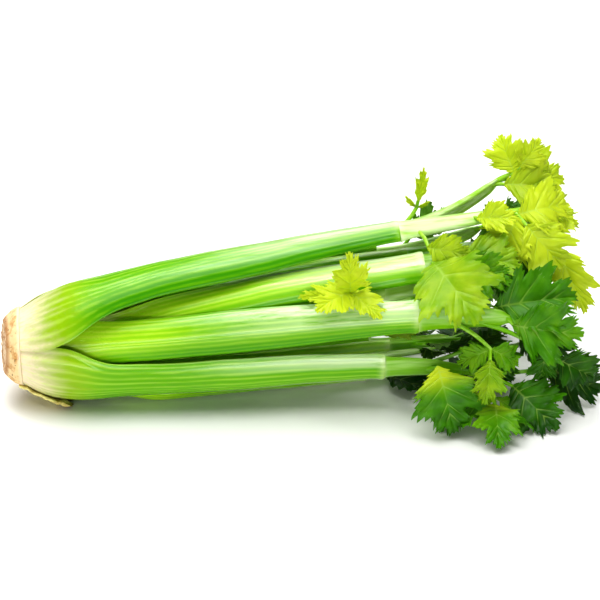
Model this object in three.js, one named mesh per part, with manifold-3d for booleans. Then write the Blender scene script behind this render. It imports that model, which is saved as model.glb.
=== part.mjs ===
// A head of celery lying on its side. Millimetres, +X from the cut butt to the leaves, +Z up, the
// ground at Z = 0. Its stalks grow from a short root plate in three rings and a heart. Each stalk is
// a ribbed crescent that widens into a sheath at its foot, and ends at a joint, where its leaf begins:
// a leaf stem with side stems, each with three toothed leaflets.
import * as THREE from 'three';
import Module from 'manifold-3d';

const wasm = await Module();
wasm.setup();

// Driving dimensions
const GAP = 0.4; // between pieces that touch
const RIB_HEIGHT = 0.8; // of a stalk's ribs, from valley to crest
const BLADE_THICKNESS = 0.8; // of a leaflet
const STEM_RADIUS = 2; // of a side stem where it leaves the leaf stem
const STEM_TIP_RADIUS = 1.2;
const STEM_BOW = 0.5; // how far a stem keeps its first direction, in lengths of its span
const LEAFLET_STALK = 0.2; // of the middle leaflet of three, in lengths of the leaf
const LEAFLET_SPREAD = [60, 76]; // degrees from the middle leaflet to a side one
const ROOT_DEPTH = 1; // that the middle leaflet starts inside its stalk
const WAVES = 9; // of a leaflet's edge: radians over its length
const GROUND_CLEARANCE = 1.2; // of the middle of a leaflet that lies on the ground
const GROUND_EASE = 2; // over and under that height, where a leaflet turns level
const NEAR_LEAF = { ahead: 24, aside: 13 }; // of a joint, for the leaves that grow by rule

// The middle line of the head: its height over the ground at each X, because the stalks fan upwards.
const AXIS_HEIGHT = [[12, 38.6], [45, 38.6], [100, 42], [135, 45.5], [260, 57.5], [400, 66]];

// Each ring's stalks, by X: how far the ridge of the back lies from the middle line near the foot, the
// radius of the back across the stalk, half the angle that the back turns through in degrees, how
// thick the stalk is at its ridge and at its edges, and how deep one edge is tucked under the next
// stalk's. From X = 70 mm on each stalk has its own ridge.
const RINGS = {
  outer: {
    foot: 12.4,
    ridge: [[12, 25.5], [24, 33], [45, 39]],
    radius: [[12, 25.5], [24, 32.5], [45, 36], [70, 28], [100, 22.5], [150, 21], [260, 14]],
    halfAngle: [[12, 47], [48, 46], [62, 41.5], [70, 40], [100, 45], [150, 51], [260, 60]],
    thickness: [[12, 5.5], [45, 6.8], [100, 8.5], [260, 9]],
    edge: [[12, 2.4], [45, 2.2], [100, 3.2], [260, 4.2]],
    tuck: [[12, 3.1], [48, 3.1], [62, 1], [70, 0]],
  },
  middle: {
    foot: 16.4,
    ridge: [[16, 20], [28, 26.5], [45, 30.8]],
    radius: [[16, 20], [28, 25.5], [45, 27], [70, 20.5], [100, 18.5], [150, 18.5], [260, 12.5]],
    halfAngle: [[16, 42], [45, 42], [70, 43], [100, 46], [150, 49], [260, 61]],
    thickness: [[16, 5.6], [45, 6.2], [100, 8.2], [260, 8.8]],
    edge: [[16, 4.6], [45, 2.6], [100, 3.2], [260, 4.2]],
    tuck: [[16, 0], [20, 0]],
  },
  inner: {
    foot: 20.4,
    ridge: [[20, 13], [35, 16.5], [50, 19.8]],
    radius: [[20, 13], [35, 15], [70, 14], [120, 13], [260, 10.5]],
    halfAngle: [[20, 41], [70, 42], [120, 50], [260, 58]],
    thickness: [[20, 4.8], [70, 5.4], [120, 6.6], [260, 7]],
    edge: [[20, 4], [70, 2.4], [260, 3.2]],
    tuck: [[20, 0], [24, 0]],
  },
  heart: {
    foot: 24.4,
    ridge: [[24, 7], [60, 8]],
    radius: [[24, 7], [60, 6.5], [120, 6], [220, 5]],
    halfAngle: [[24, 52], [60, 50], [120, 52], [220, 56]],
    thickness: [[24, 4.8], [120, 4.4], [220, 4.2]],
    edge: [[24, 3.4], [120, 2.2], [220, 2.2]],
    tuck: [[24, 0], [30, 0]],
  },
};

// Each stalk: its ring, the way its back faces at the foot and at the joint, in degrees from the side
// nearest the camera towards the top, its ridge's distance from the middle line at X = 70, 100 and
// 135 mm and at the joint, the X of the joint, its ribs, its width against its ring's, its girth
// past the foot against its ring's, and how much further out its ridge lies at X = 45 mm.
const STALKS = {
  stalk_front_low: { ring: 'outer', from: -23, to: -27, ridge: [42, 45, 48.5, 57.5], joint: 251, ribs: 7 },
  stalk_top: {
    ring: 'outer',
    from: 70,
    to: 93,
    ridge: [52, 57, 58.5, 58],
    joint: 266,
    ribs: 7,
    belly: 5,
  },
  stalk_back: {
    ring: 'outer',
    from: 160,
    to: 168,
    ridge: [42, 43, 46, 54],
    joint: 258,
    ribs: 5,
    width: 0.87,
  },
  stalk_under_back: {
    ring: 'outer',
    from: -112,
    to: -119,
    ridge: [42, 45, 48.6, 66],
    joint: 254,
    ribs: 5,
    width: 0.87,
  },
  stalk_front_middle: { ring: 'middle', from: 25, to: 16, ridge: [36, 42.5, 47, 58], joint: 272, ribs: 7 },
  stalk_top_back: { ring: 'middle', from: 115, to: 134, ridge: [36, 42, 45, 54], joint: 262, ribs: 5 },
  stalk_back_low: { ring: 'middle', from: 205, to: 202, ridge: [36, 42, 45, 55], joint: 248, ribs: 5 },
  stalk_under_front: {
    ring: 'middle',
    from: -66,
    to: -91,
    ridge: [36, 44.8, 47.6, 57.3],
    joint: 245,
    ribs: 5,
  },
  stalk_inner_front: {
    ring: 'inner',
    from: 49,
    to: 60,
    ridge: [25, 35, 42, 47],
    joint: 280,
    ribs: 5,
    girth: 1.3,
  },
  stalk_inner_top: { ring: 'inner', from: 137, to: 98, ridge: [23.5, 28, 31, 38], joint: 272, ribs: 5 },
  stalk_inner_back: { ring: 'inner', from: 227, to: 196, ridge: [23.5, 26, 29, 34], joint: 262, ribs: 3 },
  stalk_inner_low: { ring: 'inner', from: -43, to: -50, ridge: [23.5, 26, 29, 34], joint: 258, ribs: 3 },
  heart_front: { ring: 'heart', from: 30, to: 30, ridge: [9, 12, 17, 34], joint: 214, ribs: 3 },
  heart_back: { ring: 'heart', from: 150, to: 150, ridge: [9, 11, 13, 18], joint: 236, ribs: 3 },
  heart_low: { ring: 'heart', from: 270, to: 280, ridge: [9, 11, 13, 18], joint: 226, ribs: 3 },
};

// The root plate: X, radius, and how much of the cut's lean and lumps each ring of it has.
const BUTT_PROFILE = [
  [0, 18, 1],
  [2, 20.5, 1],
  [7, 25, 0.4],
  [12, 26.5, 0],
  [12, 20.2, 0],
  [16, 19.6, 0],
  [16, 13.5, 0],
  [20, 12.8, 0],
  [20, 7, 0],
  [24, 6.4, 0],
];
const BUTT_SIDES = 18;
const BUTT_LUMPS = 0.06;
const CUT_LEAN = 0.1; // of the cut face, by height and by width
const CUT_TURN = -0.12;

// The stub of an outer stalk that was trimmed off: by X, its outer face's distance from the middle line
// and its thickness. It turns round the foot of the head by this much to each side of its middle.
const STUB = [[9, 27.9, 1.6], [16, 31.2, 2.2], [25, 36.7, 2.2], [34, 40.2, 2.4], [42, 42.4, 1.8]];
const STUB_MIDDLE = -66;
const STUB_HALF_ANGLE = [[9, 9], [25, 16], [42, 10]];

// A leaflet's edge in the fan of its veins: where on the midrib a vein leaves it, the vein's angle to
// the midrib in degrees, and how far the edge is along the vein, in lengths of the leaflet.
const LEAFLET_ROWS = [
  [0, 0, 0],
  [0.09, 68, 0.2],
  [0.17, 63, 0.46],
  [0.22, 56, 0.42],
  [0.3, 46, 0.6],
  [0.43, 38, 0.36],
  [0.56, 33, 0.42],
  [0.7, 28, 0.24],
  [1, 0, 0],
];

// Along a leaf stem: how far, and its size against the stalk's at the joint.
const STEM_SECTIONS = [[0, 0.86], [0.15, 0.78], [0.55, 0.66], [0.9, 0.46], [1, 0.2]];

// Each leaf: the stalk that it grows on, the end of its leaf stem, the stem's girth against the usual
// one, and its leaves. A leaf has the place on the leaf stem that its side stem starts from, the hub
// where its leaflets meet, the tip of the middle one, the way its upper face looks in degrees, the size
// of its side leaflets against the middle one, its width and the degrees that it bends through.
const FRONDS = {
  leaf_top: {
    stalk: 'stalk_top',
    end: [343, 0, 122],
    girth: 1.1,
    seed: 11,
    leaves: [
      { from: 0.95, hub: [345, -4, 121], tip: [375, -18, 86], face: 15, side: 0.8, bend: 45, width: 1.1 },
      { from: 0.95, hub: [352, 6, 121], tip: [390, 3, 109], face: 60, width: 1.1 },
      { from: 0.03, hub: [282, -24, 110], tip: [310, -34, 108], face: 15, width: 0.9 },
      { from: 0.6, hub: [318, -5, 120], tip: [344, -14, 122], face: 50 },
      { from: 0.95, hub: [370, -8, 100], tip: [394, -20, 52], face: 0, width: 0.6 },
    ],
  },
  leaf_front_middle: {
    stalk: 'stalk_front_middle',
    end: [332, -55, 70],
    girth: 1.1,
    seed: 12,
    leaves: [
      { from: 0.95, hub: [334, -57, 67], tip: [380, -64, 62], face: 10, width: 1.15 },
      { from: 0.85, hub: [324, -45, 74], tip: [380, -41, 77], face: 40 },
      { from: 0.03, hub: [356, -61, 48], tip: [391, -60, 26], face: 10, side: 0.6 },
      { from: 0.03, hub: [317, -70, 57], tip: [311, -82, 23], face: -10, side: 0.7, width: 0.9 },
      { from: 0.95, hub: [340, -46, 58], tip: [370, -44, 34], face: 10, width: 0.9 },
    ],
  },
  leaf_front_low: {
    stalk: 'stalk_front_low',
    end: [305, -53, 31],
    seed: 13,
    leaves: [
      { from: 0.4, hub: [283, -69, 45], tip: [292, -87, 5], face: 15, width: 1.15 },
      { from: 0.95, hub: [322, -65, 17], tip: [317, -108, 3], face: 60, side: 0.9 },
      { from: 0.95, hub: [336, -58, 21], tip: [361, -88, 3], face: 25, width: 1.1 },
      { from: 0.95, hub: [362, -42, 24], tip: [400, -50, 8], face: 30, width: 1.15 },
      { from: 0.03, hub: [311, -45, 46], tip: [338, -52, 22], face: 0, width: 1.1 },
    ],
  },
  leaf_inner_front: {
    stalk: 'stalk_inner_front',
    end: [302, -23, 102],
    seed: 14,
    leaves: [
      { from: 0.95, hub: [304, -24, 102], tip: [343, -33, 96], face: 60, width: 1.1 },
      { from: 0.1, hub: [284, -34, 103], tip: [308, -80, 78], face: 25, bend: 70, width: 1.15 },
      { from: 0.3, hub: [300, -34, 100], tip: [334, -48, 94], face: 30, width: 0.9 },
    ],
  },
  leaf_inner_top: {
    stalk: 'stalk_inner_top',
    end: [330, 10, 94],
    seed: 16,
    leaves: [{ from: 0.95, hub: [338, 12, 84], tip: [382, 8, 74], face: 40, side: 0.75, width: 1.1 }],
  },
  leaf_top_back: {
    stalk: 'stalk_top_back',
    end: [340, 38, 128],
    girth: 1.25,
    seed: 15,
    leaves: [
      { from: 0.95, hub: [351, 37, 133], tip: [368, 41, 157], face: 10, side: 0.95, width: 1.1 },
      { from: 0.95, hub: [350, 41, 126], tip: [390, 45, 124], face: 45, width: 1.1 },
      { from: 0.9, hub: [344, 34, 126], tip: [380, 30, 124], face: 40 },
      { from: 0.03, hub: [285, 42, 108], tip: [289, 43, 139], face: 10, side: 0.35, width: 0.4 },
    ],
  },
  leaf_heart_front: {
    stalk: 'heart_front',
    end: [228, -37, 84],
    seed: 17,
    leaves: [
      { from: 0.9, hub: [229, -37, 86], tip: [227, -44, 120], face: 10, width: 0.8 },
      { from: 0.9, hub: [229, -37, 86], tip: [204, -58, 85], face: 60 },
      { from: 0.9, hub: [229, -37, 86], tip: [247, -60, 78], face: 60, width: 0.8 },
      { from: 0.1, hub: [212, -34, 82], tip: [194, -40, 85], face: 60, width: 0.5 },
    ],
  },
  leaf_under_front: {
    stalk: 'stalk_under_front',
    end: [302, -12, 4],
    seed: 18,
    leaves: [
      { from: 0.95, hub: [304, -13, 4], tip: [346, -24, 3], face: 90, side: 0.8 },
      { from: 0.03, hub: [260, -10, 4], tip: [286, -32, 3], face: 90 },
    ],
  },
  leaf_under_back: {
    stalk: 'stalk_under_back',
    end: [312, 40, 4],
    seed: 19,
    leaves: [
      { from: 0.95, hub: [314, 41, 4], tip: [356, 46, 4], face: 90, side: 0.8 },
      { from: 0.03, hub: [272, 47, 3], tip: [298, 74, 1], face: 90, bend: 8 },
    ],
  },
};

// The leaves that grow by rule on the other stalks: how long the leaf stem is and how far it leans
// across, how large the leaves are, the sides that have one more leaf near the joint, and a seed. Where
// side is 0, the last leaf has no leaflets beside the middle one.
const RULED = {
  leaf_back: { stalk: 'stalk_back', length: 74, lean: -14, size: 44, near: [-1], seed: 21 },
  leaf_back_low: { stalk: 'stalk_back_low', length: 70, lean: 4, size: 44, near: [1], seed: 22 },
  leaf_inner_back: {
    stalk: 'stalk_inner_back',
    length: 64,
    lean: 0,
    size: 38,
    near: [],
    side: 0,
    seed: 25,
  },
  leaf_inner_low: { stalk: 'stalk_inner_low', length: 56, lean: 0, size: 38, near: [1, -1], side: 0, seed: 26 },
  leaf_heart_back: { stalk: 'heart_back', length: 30, lean: 0, size: 30, near: [], side: 0, seed: 27 },
  leaf_heart_low: { stalk: 'heart_low', length: 26, lean: 0, size: 26, near: [], side: 0, seed: 28 },
};

// Colours and roughness: the root plate, the stub, the stalks by ring, and the leaves.
const FINISHES = {
  butt: { color: 0xeae0bf, roughness: 0.7 },
  stub: { color: 0xcbb468, roughness: 0.75 },
  outer: { color: 0x86b83a, roughness: 0.4 },
  middle: { color: 0x97c544, roughness: 0.4 },
  inner: { color: 0xb2d45a, roughness: 0.4 },
  heart: { color: 0xcfe07c, roughness: 0.4 },
  leaf: { color: 0x559c22, roughness: 0.5 },
  heartLeaf: { color: 0xb9d12e, roughness: 0.5 },
};

const DEGREE = Math.PI / 180;
const FOOT_END = 70; // mm, where a stalk leaves its ring's shape for its own
const vector = (x, y, z) => new THREE.Vector3(x, y, z);
const smooth = (t) => (t <= 0 ? 0 : t >= 1 ? 1 : t * t * (3 - 2 * t));

// The value at x of a smooth curve through keys, which are [x, value] pairs, and level past its ends.
function keyed(x, keys) {
  const last = keys.length - 1;
  if (x <= keys[0][0]) return keys[0][1];
  if (x >= keys[last][0]) return keys[last][1];
  const slope = (i) => (keys[i + 1][1] - keys[i][1]) / (keys[i + 1][0] - keys[i][0]);
  const tangent = (i) => {
    if (i === 0) return slope(0);
    if (i === last) return slope(last - 1);
    const before = keys[i][0] - keys[i - 1][0];
    const after = keys[i + 1][0] - keys[i][0];
    return (slope(i - 1) * after + slope(i) * before) / (before + after);
  };
  const i = keys.findIndex((key) => key[0] > x) - 1;
  const span = keys[i + 1][0] - keys[i][0];
  const t = (x - keys[i][0]) / span;
  return (
    (1 + 2 * t) * (1 - t) ** 2 * keys[i][1] +
    t * (1 - t) ** 2 * span * tangent(i) +
    t * t * (3 - 2 * t) * keys[i + 1][1] +
    t * t * (t - 1) * span * tangent(i + 1)
  );
}

// A solid from corners and triangles, turned so that its faces point out.
function solid(points, triangles) {
  const build = (faces) =>
    new wasm.Manifold(
      new wasm.Mesh({
        numProp: 3,
        vertProperties: new Float32Array(points.flatMap((p) => p.toArray())),
        triVerts: new Uint32Array(faces.flat()),
      }),
    );
  const made = build(triangles);
  return made.volume() < 0 ? build(triangles.map(([a, b, c]) => [a, c, b])) : made;
}

// A solid through loops of points, each with as many points, and closed by a flat cap at each end.
function loft(loops) {
  const count = loops[0].length;
  const triangles = [];
  for (let i = 0; i + 1 < loops.length; i++) {
    for (let j = 0; j < count; j++) {
      const here = i * count + j;
      const next = i * count + ((j + 1) % count);
      triangles.push([here, next, next + count], [here, next + count, here + count]);
    }
  }
  const cap = (loop, first, reversed) => {
    const across = loop[0].clone().sub(loop[Math.floor(count / 2)]).normalize();
    const normal = vector(0, 0, 0);
    loop.forEach((p, j) => normal.add(p.clone().cross(loop[(j + 1) % count])));
    const up = normal.clone().normalize().cross(across).normalize();
    const flat = loop.map((p) => new THREE.Vector2(p.dot(across), p.dot(up)));
    const level = THREE.ShapeUtils.isClockWise(flat) ? flat.slice().reverse() : flat;
    const index = (k) => (level === flat ? k : count - 1 - k);
    for (const [a, b, c] of THREE.ShapeUtils.triangulateShape(level, [])) {
      const face = [first + index(a), first + index(b), first + index(c)];
      triangles.push(reversed === (level === flat) ? [face[0], face[2], face[1]] : face);
    }
  };
  cap(loops[0], 0, true);
  cap(loops[loops.length - 1], (loops.length - 1) * count, false);
  return solid(loops.flat(), triangles);
}

// The crescent across a stalk: its ribbed back from one edge to the other, then its hollow face back.
// One edge of a sheath is tucked under its neighbour's.
function crescent({ middle, out, side, radius, halfAngle, thickness, edge, ribs, tuck }) {
  const at = (u, depth) => {
    const distance = radius - depth - tuck * smooth((u - 0.6) / 0.3);
    return middle
      .clone()
      .addScaledVector(out, distance * Math.cos(halfAngle * u))
      .addScaledVector(side, distance * Math.sin(halfAngle * u));
  };
  const loop = [];
  for (let i = 0; i <= 2 * ribs; i++) {
    loop.push(at(i / ribs - 1, (i % 2 ? -0.5 : 0.5) * RIB_HEIGHT));
  }
  const steps = ribs > 3 ? 4 : 2;
  for (let i = 0; i <= steps; i++) {
    const u = 1 - (2 * i) / steps;
    loop.push(at(u, edge + (thickness - edge) * (1 - u * u)));
  }
  return loop;
}

// Where a stalk is at x: the middle of its back's curve, the way out of the head, the way across it,
// and the sizes of its section.
function stalkAt(stalk, x) {
  const ring = RINGS[stalk.ring];
  const [first, second, third] = ring.ridge;
  const ridge = keyed(x, [
    first,
    second,
    ...(third ? [[third[0], third[1] + (stalk.belly ?? 0)]] : []),
    [FOOT_END, stalk.ridge[0]],
    [100, stalk.ridge[1]],
    [135, stalk.ridge[2]],
    [stalk.joint, stalk.ridge[3]],
  ]);
  const angle = keyed(x, [[FOOT_END, stalk.from], [stalk.joint, stalk.to]]) * DEGREE;
  const out = vector(0, -Math.cos(angle), Math.sin(angle));
  const side = vector(0, Math.sin(angle), Math.cos(angle));
  const girth = 1 + ((stalk.girth ?? 1) - 1) * smooth((x - FOOT_END) / 40);
  const radius = girth * keyed(x, ring.radius);
  return {
    middle: vector(x, 0, keyed(x, AXIS_HEIGHT)).addScaledVector(out, ridge - radius),
    out,
    side,
    radius,
    halfAngle: keyed(x, ring.halfAngle) * DEGREE * (x < 100 ? 1 : (stalk.width ?? 1)),
    thickness: girth * keyed(x, ring.thickness),
    edge: girth * keyed(x, ring.edge),
    tuck: keyed(x, ring.tuck),
    ribs: stalk.ribs,
  };
}

function stalkSolid(stalk) {
  const { foot } = RINGS[stalk.ring];
  const stations = [foot, 26, 38, 52, 68, 85, 110, 150, 200, stalk.joint];
  const inside = stations.filter((x, i) => i === 0 || (x > foot + 3 && x <= stalk.joint));
  return loft(inside.map((x) => crescent(stalkAt(stalk, x))));
}

// What lies under the ground is cut off, which leaves the flat spots that the head rests on.
const aboveGround = (made) => made.trimByPlane([0, 0, 1], 0);

// The root plate: a stepped cone, with a ledge that each ring of stalks stands on. Its cut face leans.
function buttSolid() {
  const loops = [];
  const centre = vector(0, 0, keyed(0, AXIS_HEIGHT));
  for (const [x, radius, lean] of BUTT_PROFILE) {
    const loop = [];
    for (let i = 0; i < BUTT_SIDES; i++) {
      const angle = (2 * Math.PI * i) / BUTT_SIDES;
      const lump = 1 + BUTT_LUMPS * lean * Math.sin(3 * angle + 1) * Math.cos(5 * angle);
      const y = radius * lump * Math.cos(angle);
      const z = radius * lump * Math.sin(angle);
      loop.push(vector(x + lean * (z * CUT_LEAN + y * CUT_TURN), y, z).add(centre));
    }
    loops.push(loop);
  }
  return loft(loops);
}

function stubSolid() {
  const angle = STUB_MIDDLE * DEGREE;
  return loft(
    STUB.map(([x, radius, thickness]) =>
      crescent({
        middle: vector(x, 0, keyed(x, AXIS_HEIGHT)),
        out: vector(0, -Math.cos(angle), Math.sin(angle)),
        side: vector(0, Math.sin(angle), Math.cos(angle)),
        radius,
        halfAngle: keyed(x, STUB_HALF_ANGLE) * DEGREE,
        thickness,
        edge: thickness / 2,
        ribs: 3,
        tuck: 0,
      }),
    ),
  );
}

// Random draws between two bounds, the same each time for a seed.
function randomFrom(seed) {
  let state = seed;
  return (low, high) => {
    state = (state * 1664525 + 1013904223) % 4294967296;
    return low + ((high - low) * state) / 4294967296;
  };
}

// A tube through points, thinner towards its end, with its last ring drawn in to a blunt point.
function tube(points, startRadius, endRadius, sides = 3) {
  const loops = points.map((p, i) => {
    const ahead = points[Math.min(i + 1, points.length - 1)];
    const behind = points[Math.max(i - 1, 0)];
    const along = ahead.clone().sub(behind).normalize();
    const across = vector(0, 0, 1).cross(along).normalize();
    const up = along.clone().cross(across);
    const radius = startRadius + ((endRadius - startRadius) * i) / (points.length - 1);
    return Array.from({ length: sides }, (unused, k) => {
      const turn = (2 * Math.PI * k) / sides;
      const at = p
        .clone()
        .addScaledVector(across, radius * Math.cos(turn))
        .addScaledVector(up, radius * Math.sin(turn));
      return at.setZ(Math.max(at.z, 0.05));
    });
  });
  return loft(loops);
}

// A stem's line, which leaves start along way and bows over to end.
function stemLine(start, way, end) {
  const bow = start.clone().addScaledVector(way, STEM_BOW * start.distanceTo(end));
  return new THREE.QuadraticBezierCurve3(start, bow, end);
}

// One toothed leaflet. Its blade runs from the base along the way ahead, bends down over its length,
// rises from the midrib to both edges, and waves along them.
function leaflet({ base, ahead, face, length, width, bend, fold, wave, phase }) {
  const across = face.clone().cross(ahead).normalize();
  const place = (m, angle, reach, sign) => {
    const along = m + reach * Math.cos(angle * DEGREE);
    const aside = width * reach * Math.sin(angle * DEGREE);
    const turned = bend * DEGREE * along;
    const radius = length / (bend * DEGREE);
    const normal = face
      .clone()
      .multiplyScalar(Math.cos(turned))
      .addScaledVector(ahead, Math.sin(turned));
    const rise = length * aside * (fold + wave * Math.sin(WAVES * along + phase * (2 + sign)));
    const middle = base
      .clone()
      .addScaledVector(ahead, radius * Math.sin(turned))
      .addScaledVector(face, radius * (Math.cos(turned) - 1))
      .addScaledVector(across, sign * length * aside)
      .addScaledVector(normal, rise);
    middle.z = overGround(middle.z);
    return { middle, normal };
  };
  const rows = LEAFLET_ROWS;
  const last = rows.length - 1;
  const rib = rows.map(([m]) => place(m, 0, 0, 1));
  const sides = [1, -1].map((sign) => rows.slice(1, last).map((row) => place(...row, sign)));
  const all = [...rib, ...sides[0], ...sides[1]];
  const count = all.length;
  const faces = [];
  const outline = [0];
  for (const [k, first] of [[0, rib.length], [1, rib.length + last - 1]]) {
    const push = (a, b, c) => faces.push(k ? [a, c, b] : [a, b, c]);
    push(0, first, 1);
    for (let i = 1; i < last - 1; i++) {
      push(i, first + i - 1, first + i);
      push(i, first + i, i + 1);
    }
    push(last - 1, first + last - 2, last);
  }
  for (let i = 0; i < last - 1; i++) outline.push(rib.length + i);
  outline.push(last);
  for (let i = last - 2; i >= 0; i--) outline.push(rib.length + last - 1 + i);
  const triangles = [];
  for (const [a, b, c] of faces) {
    triangles.push([a, b, c], [a + count, c + count, b + count]);
  }
  outline.forEach((a, i) => {
    const b = outline[(i + 1) % outline.length];
    triangles.push([a, b + count, b], [a, a + count, b + count]);
  });
  const shifted = (half) => all.map(({ middle, normal }) => middle.clone().addScaledVector(normal, half));
  return solid([...shifted(BLADE_THICKNESS / 2), ...shifted(-BLADE_THICKNESS / 2)], triangles);
}

// A height that flattens out just over the ground instead of passing under it.
function overGround(z) {
  const over = z - GROUND_CLEARANCE;
  if (over > GROUND_EASE) return z;
  return GROUND_CLEARANCE + Math.max(over + GROUND_EASE, 0) ** 2 / (4 * GROUND_EASE);
}

// A leaf at the end of its side stem: one leaflet ahead and, where it has them, one to each side.
function leafSolids(leaf, start, way, random) {
  const hub = vector(...leaf.hub);
  const reach = vector(...leaf.tip).sub(hub);
  const length = reach.length();
  const chord = reach.clone().normalize();
  const outward = vector(0, -Math.cos(leaf.face * DEGREE), Math.sin(leaf.face * DEGREE));
  const level = outward.addScaledVector(chord, -outward.dot(chord)).normalize();
  const across = level.clone().cross(chord).normalize();
  const bend = leaf.bend ?? 35;
  const ahead = chord.clone().applyAxisAngle(across, (-bend / 2) * DEGREE);
  const face = level.clone().applyAxisAngle(across, (-bend / 2) * DEGREE);
  const points = stemLine(start, way, hub).getPoints(3);
  const side = leaf.side ?? 0;
  const stalked = side ? LEAFLET_STALK * length : 0;
  if (side) points.push(hub.clone().addScaledVector(ahead, stalked));
  const made = [tube(points, STEM_RADIUS, STEM_TIP_RADIUS)];
  for (const turn of side ? [0, 1, -1] : [0]) {
    const size = turn ? side * length * random(0.9, 1.1) : length;
    const angle = -turn * random(...LEAFLET_SPREAD) * DEGREE;
    const droop = (turn ? 1 : 0) * random(-0.1, 0.3);
    const heading = ahead.clone().applyAxisAngle(face, angle);
    const lateral = face.clone().cross(heading).normalize();
    made.push(
      leaflet({
        base: hub.clone().addScaledVector(ahead, turn ? 0 : stalked - ROOT_DEPTH),
        ahead: heading.applyAxisAngle(lateral, droop),
        face: face.clone().applyAxisAngle(lateral, droop),
        length: turn ? size : length - stalked + ROOT_DEPTH,
        width: (leaf.width ?? 1) * random(0.95, 1.1),
        bend: bend * random(0.8, 1.2) + 1,
        fold: random(0.05, 0.2),
        wave: random(0.08, 0.16),
        phase: random(0, 6),
      }),
    );
  }
  return made;
}

const coreOf = (place) =>
  place.middle.clone().addScaledVector(place.out, place.radius - place.thickness / 2);

// The leaves of a stalk that has them by rule: some near the joint and one of three at the end.
function leavesByRule({ stalk: name, length, lean, size, near, side = 0.75, seed }) {
  const stalk = STALKS[name];
  const random = randomFrom(seed);
  const joint = stalkAt(stalk, stalk.joint);
  const run = coreOf(joint).sub(coreOf(stalkAt(stalk, stalk.joint - 20))).normalize();
  const end = coreOf(joint).addScaledVector(run, length).addScaledVector(joint.side, lean);
  const grown = (from, start, ahead, aside, turn, scale, besides) => {
    const hub = start
      .clone()
      .addScaledVector(run, ahead)
      .addScaledVector(joint.side, aside)
      .addScaledVector(joint.out, random(0, 4));
    const tip = hub
      .clone()
      .addScaledVector(run, scale * Math.cos(turn * DEGREE))
      .addScaledVector(joint.side, scale * Math.sin(turn * DEGREE));
    return { from, hub: hub.toArray(), tip: tip.toArray(), face: stalk.to, side: besides };
  };
  const leaves = near.map((sign) => {
    const turn = sign * random(25, 35);
    const { ahead, aside } = NEAR_LEAF;
    return grown(0.1, coreOf(joint), ahead, sign * aside, turn, random(0.75, 0.9) * size, 0);
  });
  leaves.push(grown(0.95, end, 4, 0, random(-8, 8), size, side));
  return { stalk: name, end: end.toArray(), seed, leaves };
}

// The leaf stem past a stalk's joint: a smaller crescent that tapers to the leaf at its end.
function frondSolid(frond) {
  const stalk = STALKS[frond.stalk];
  const joint = stalkAt(stalk, stalk.joint);
  const start = coreOf(joint).add(vector(GAP, 0, 0));
  const run = coreOf(joint).sub(coreOf(stalkAt(stalk, stalk.joint - 20))).normalize();
  const end = vector(...frond.end);
  const line = stemLine(start, run, end);
  const loops = STEM_SECTIONS.map(([t, size]) => {
    const scale = size * (frond.girth ?? 1);
    const along = t ? line.getTangent(t) : vector(1, 0, 0);
    const out = joint.out.clone().addScaledVector(along, -joint.out.dot(along)).normalize();
    const radius = scale * joint.radius;
    const thickness = scale * joint.thickness;
    return crescent({
      middle: line.getPoint(t).addScaledVector(out, thickness / 2 - radius),
      out,
      side: out.clone().cross(along).negate(),
      radius,
      halfAngle: joint.halfAngle,
      thickness,
      edge: scale * joint.edge,
      ribs: 3,
      tuck: 0,
    });
  });
  const random = randomFrom(frond.seed);
  const made = [loft(loops)];
  for (const leaf of frond.leaves) {
    made.push(...leafSolids(leaf, line.getPoint(leaf.from), line.getTangent(leaf.from), random));
  }
  return wasm.Manifold.union(made);
}

const head = new THREE.Group();
function add(name, made, { color, roughness }) {
  const mesh = made.getMesh();
  const geometry = new THREE.BufferGeometry()
    .setAttribute('position', new THREE.BufferAttribute(mesh.vertProperties, 3))
    .setIndex(new THREE.BufferAttribute(mesh.triVerts, 1));
  geometry.computeVertexNormals();
  const node = new THREE.Mesh(geometry, new THREE.MeshStandardMaterial({ color, roughness }));
  node.name = name;
  head.add(node);
}

add('butt', buttSolid(), FINISHES.butt);
add('stub', aboveGround(stubSolid()), FINISHES.stub);
for (const [name, stalk] of Object.entries(STALKS)) {
  add(name, aboveGround(stalkSolid(stalk)), FINISHES[stalk.ring]);
}
for (const [name, rule] of Object.entries(RULED)) FRONDS[name] = leavesByRule(rule);
for (const [name, frond] of Object.entries(FRONDS)) {
  const finish = STALKS[frond.stalk].ring === 'heart' ? FINISHES.heartLeaf : FINISHES.leaf;
  add(name, aboveGround(frondSolid(frond)), finish);
}

// The head stands with the middle of its bounding box over the origin.
const middle = new THREE.Box3().setFromObject(head).getCenter(vector(0, 0, 0));
head.position.set(-middle.x, -middle.y, 0);
const group = new THREE.Group().add(head);

export default group;
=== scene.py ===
# A head of celery lying on its side: the root plate, a dried stub, three rings of ribbed stalks and a
# heart, and the toothed leaves at their ends, with the pale studio that it lies in.
import math

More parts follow.
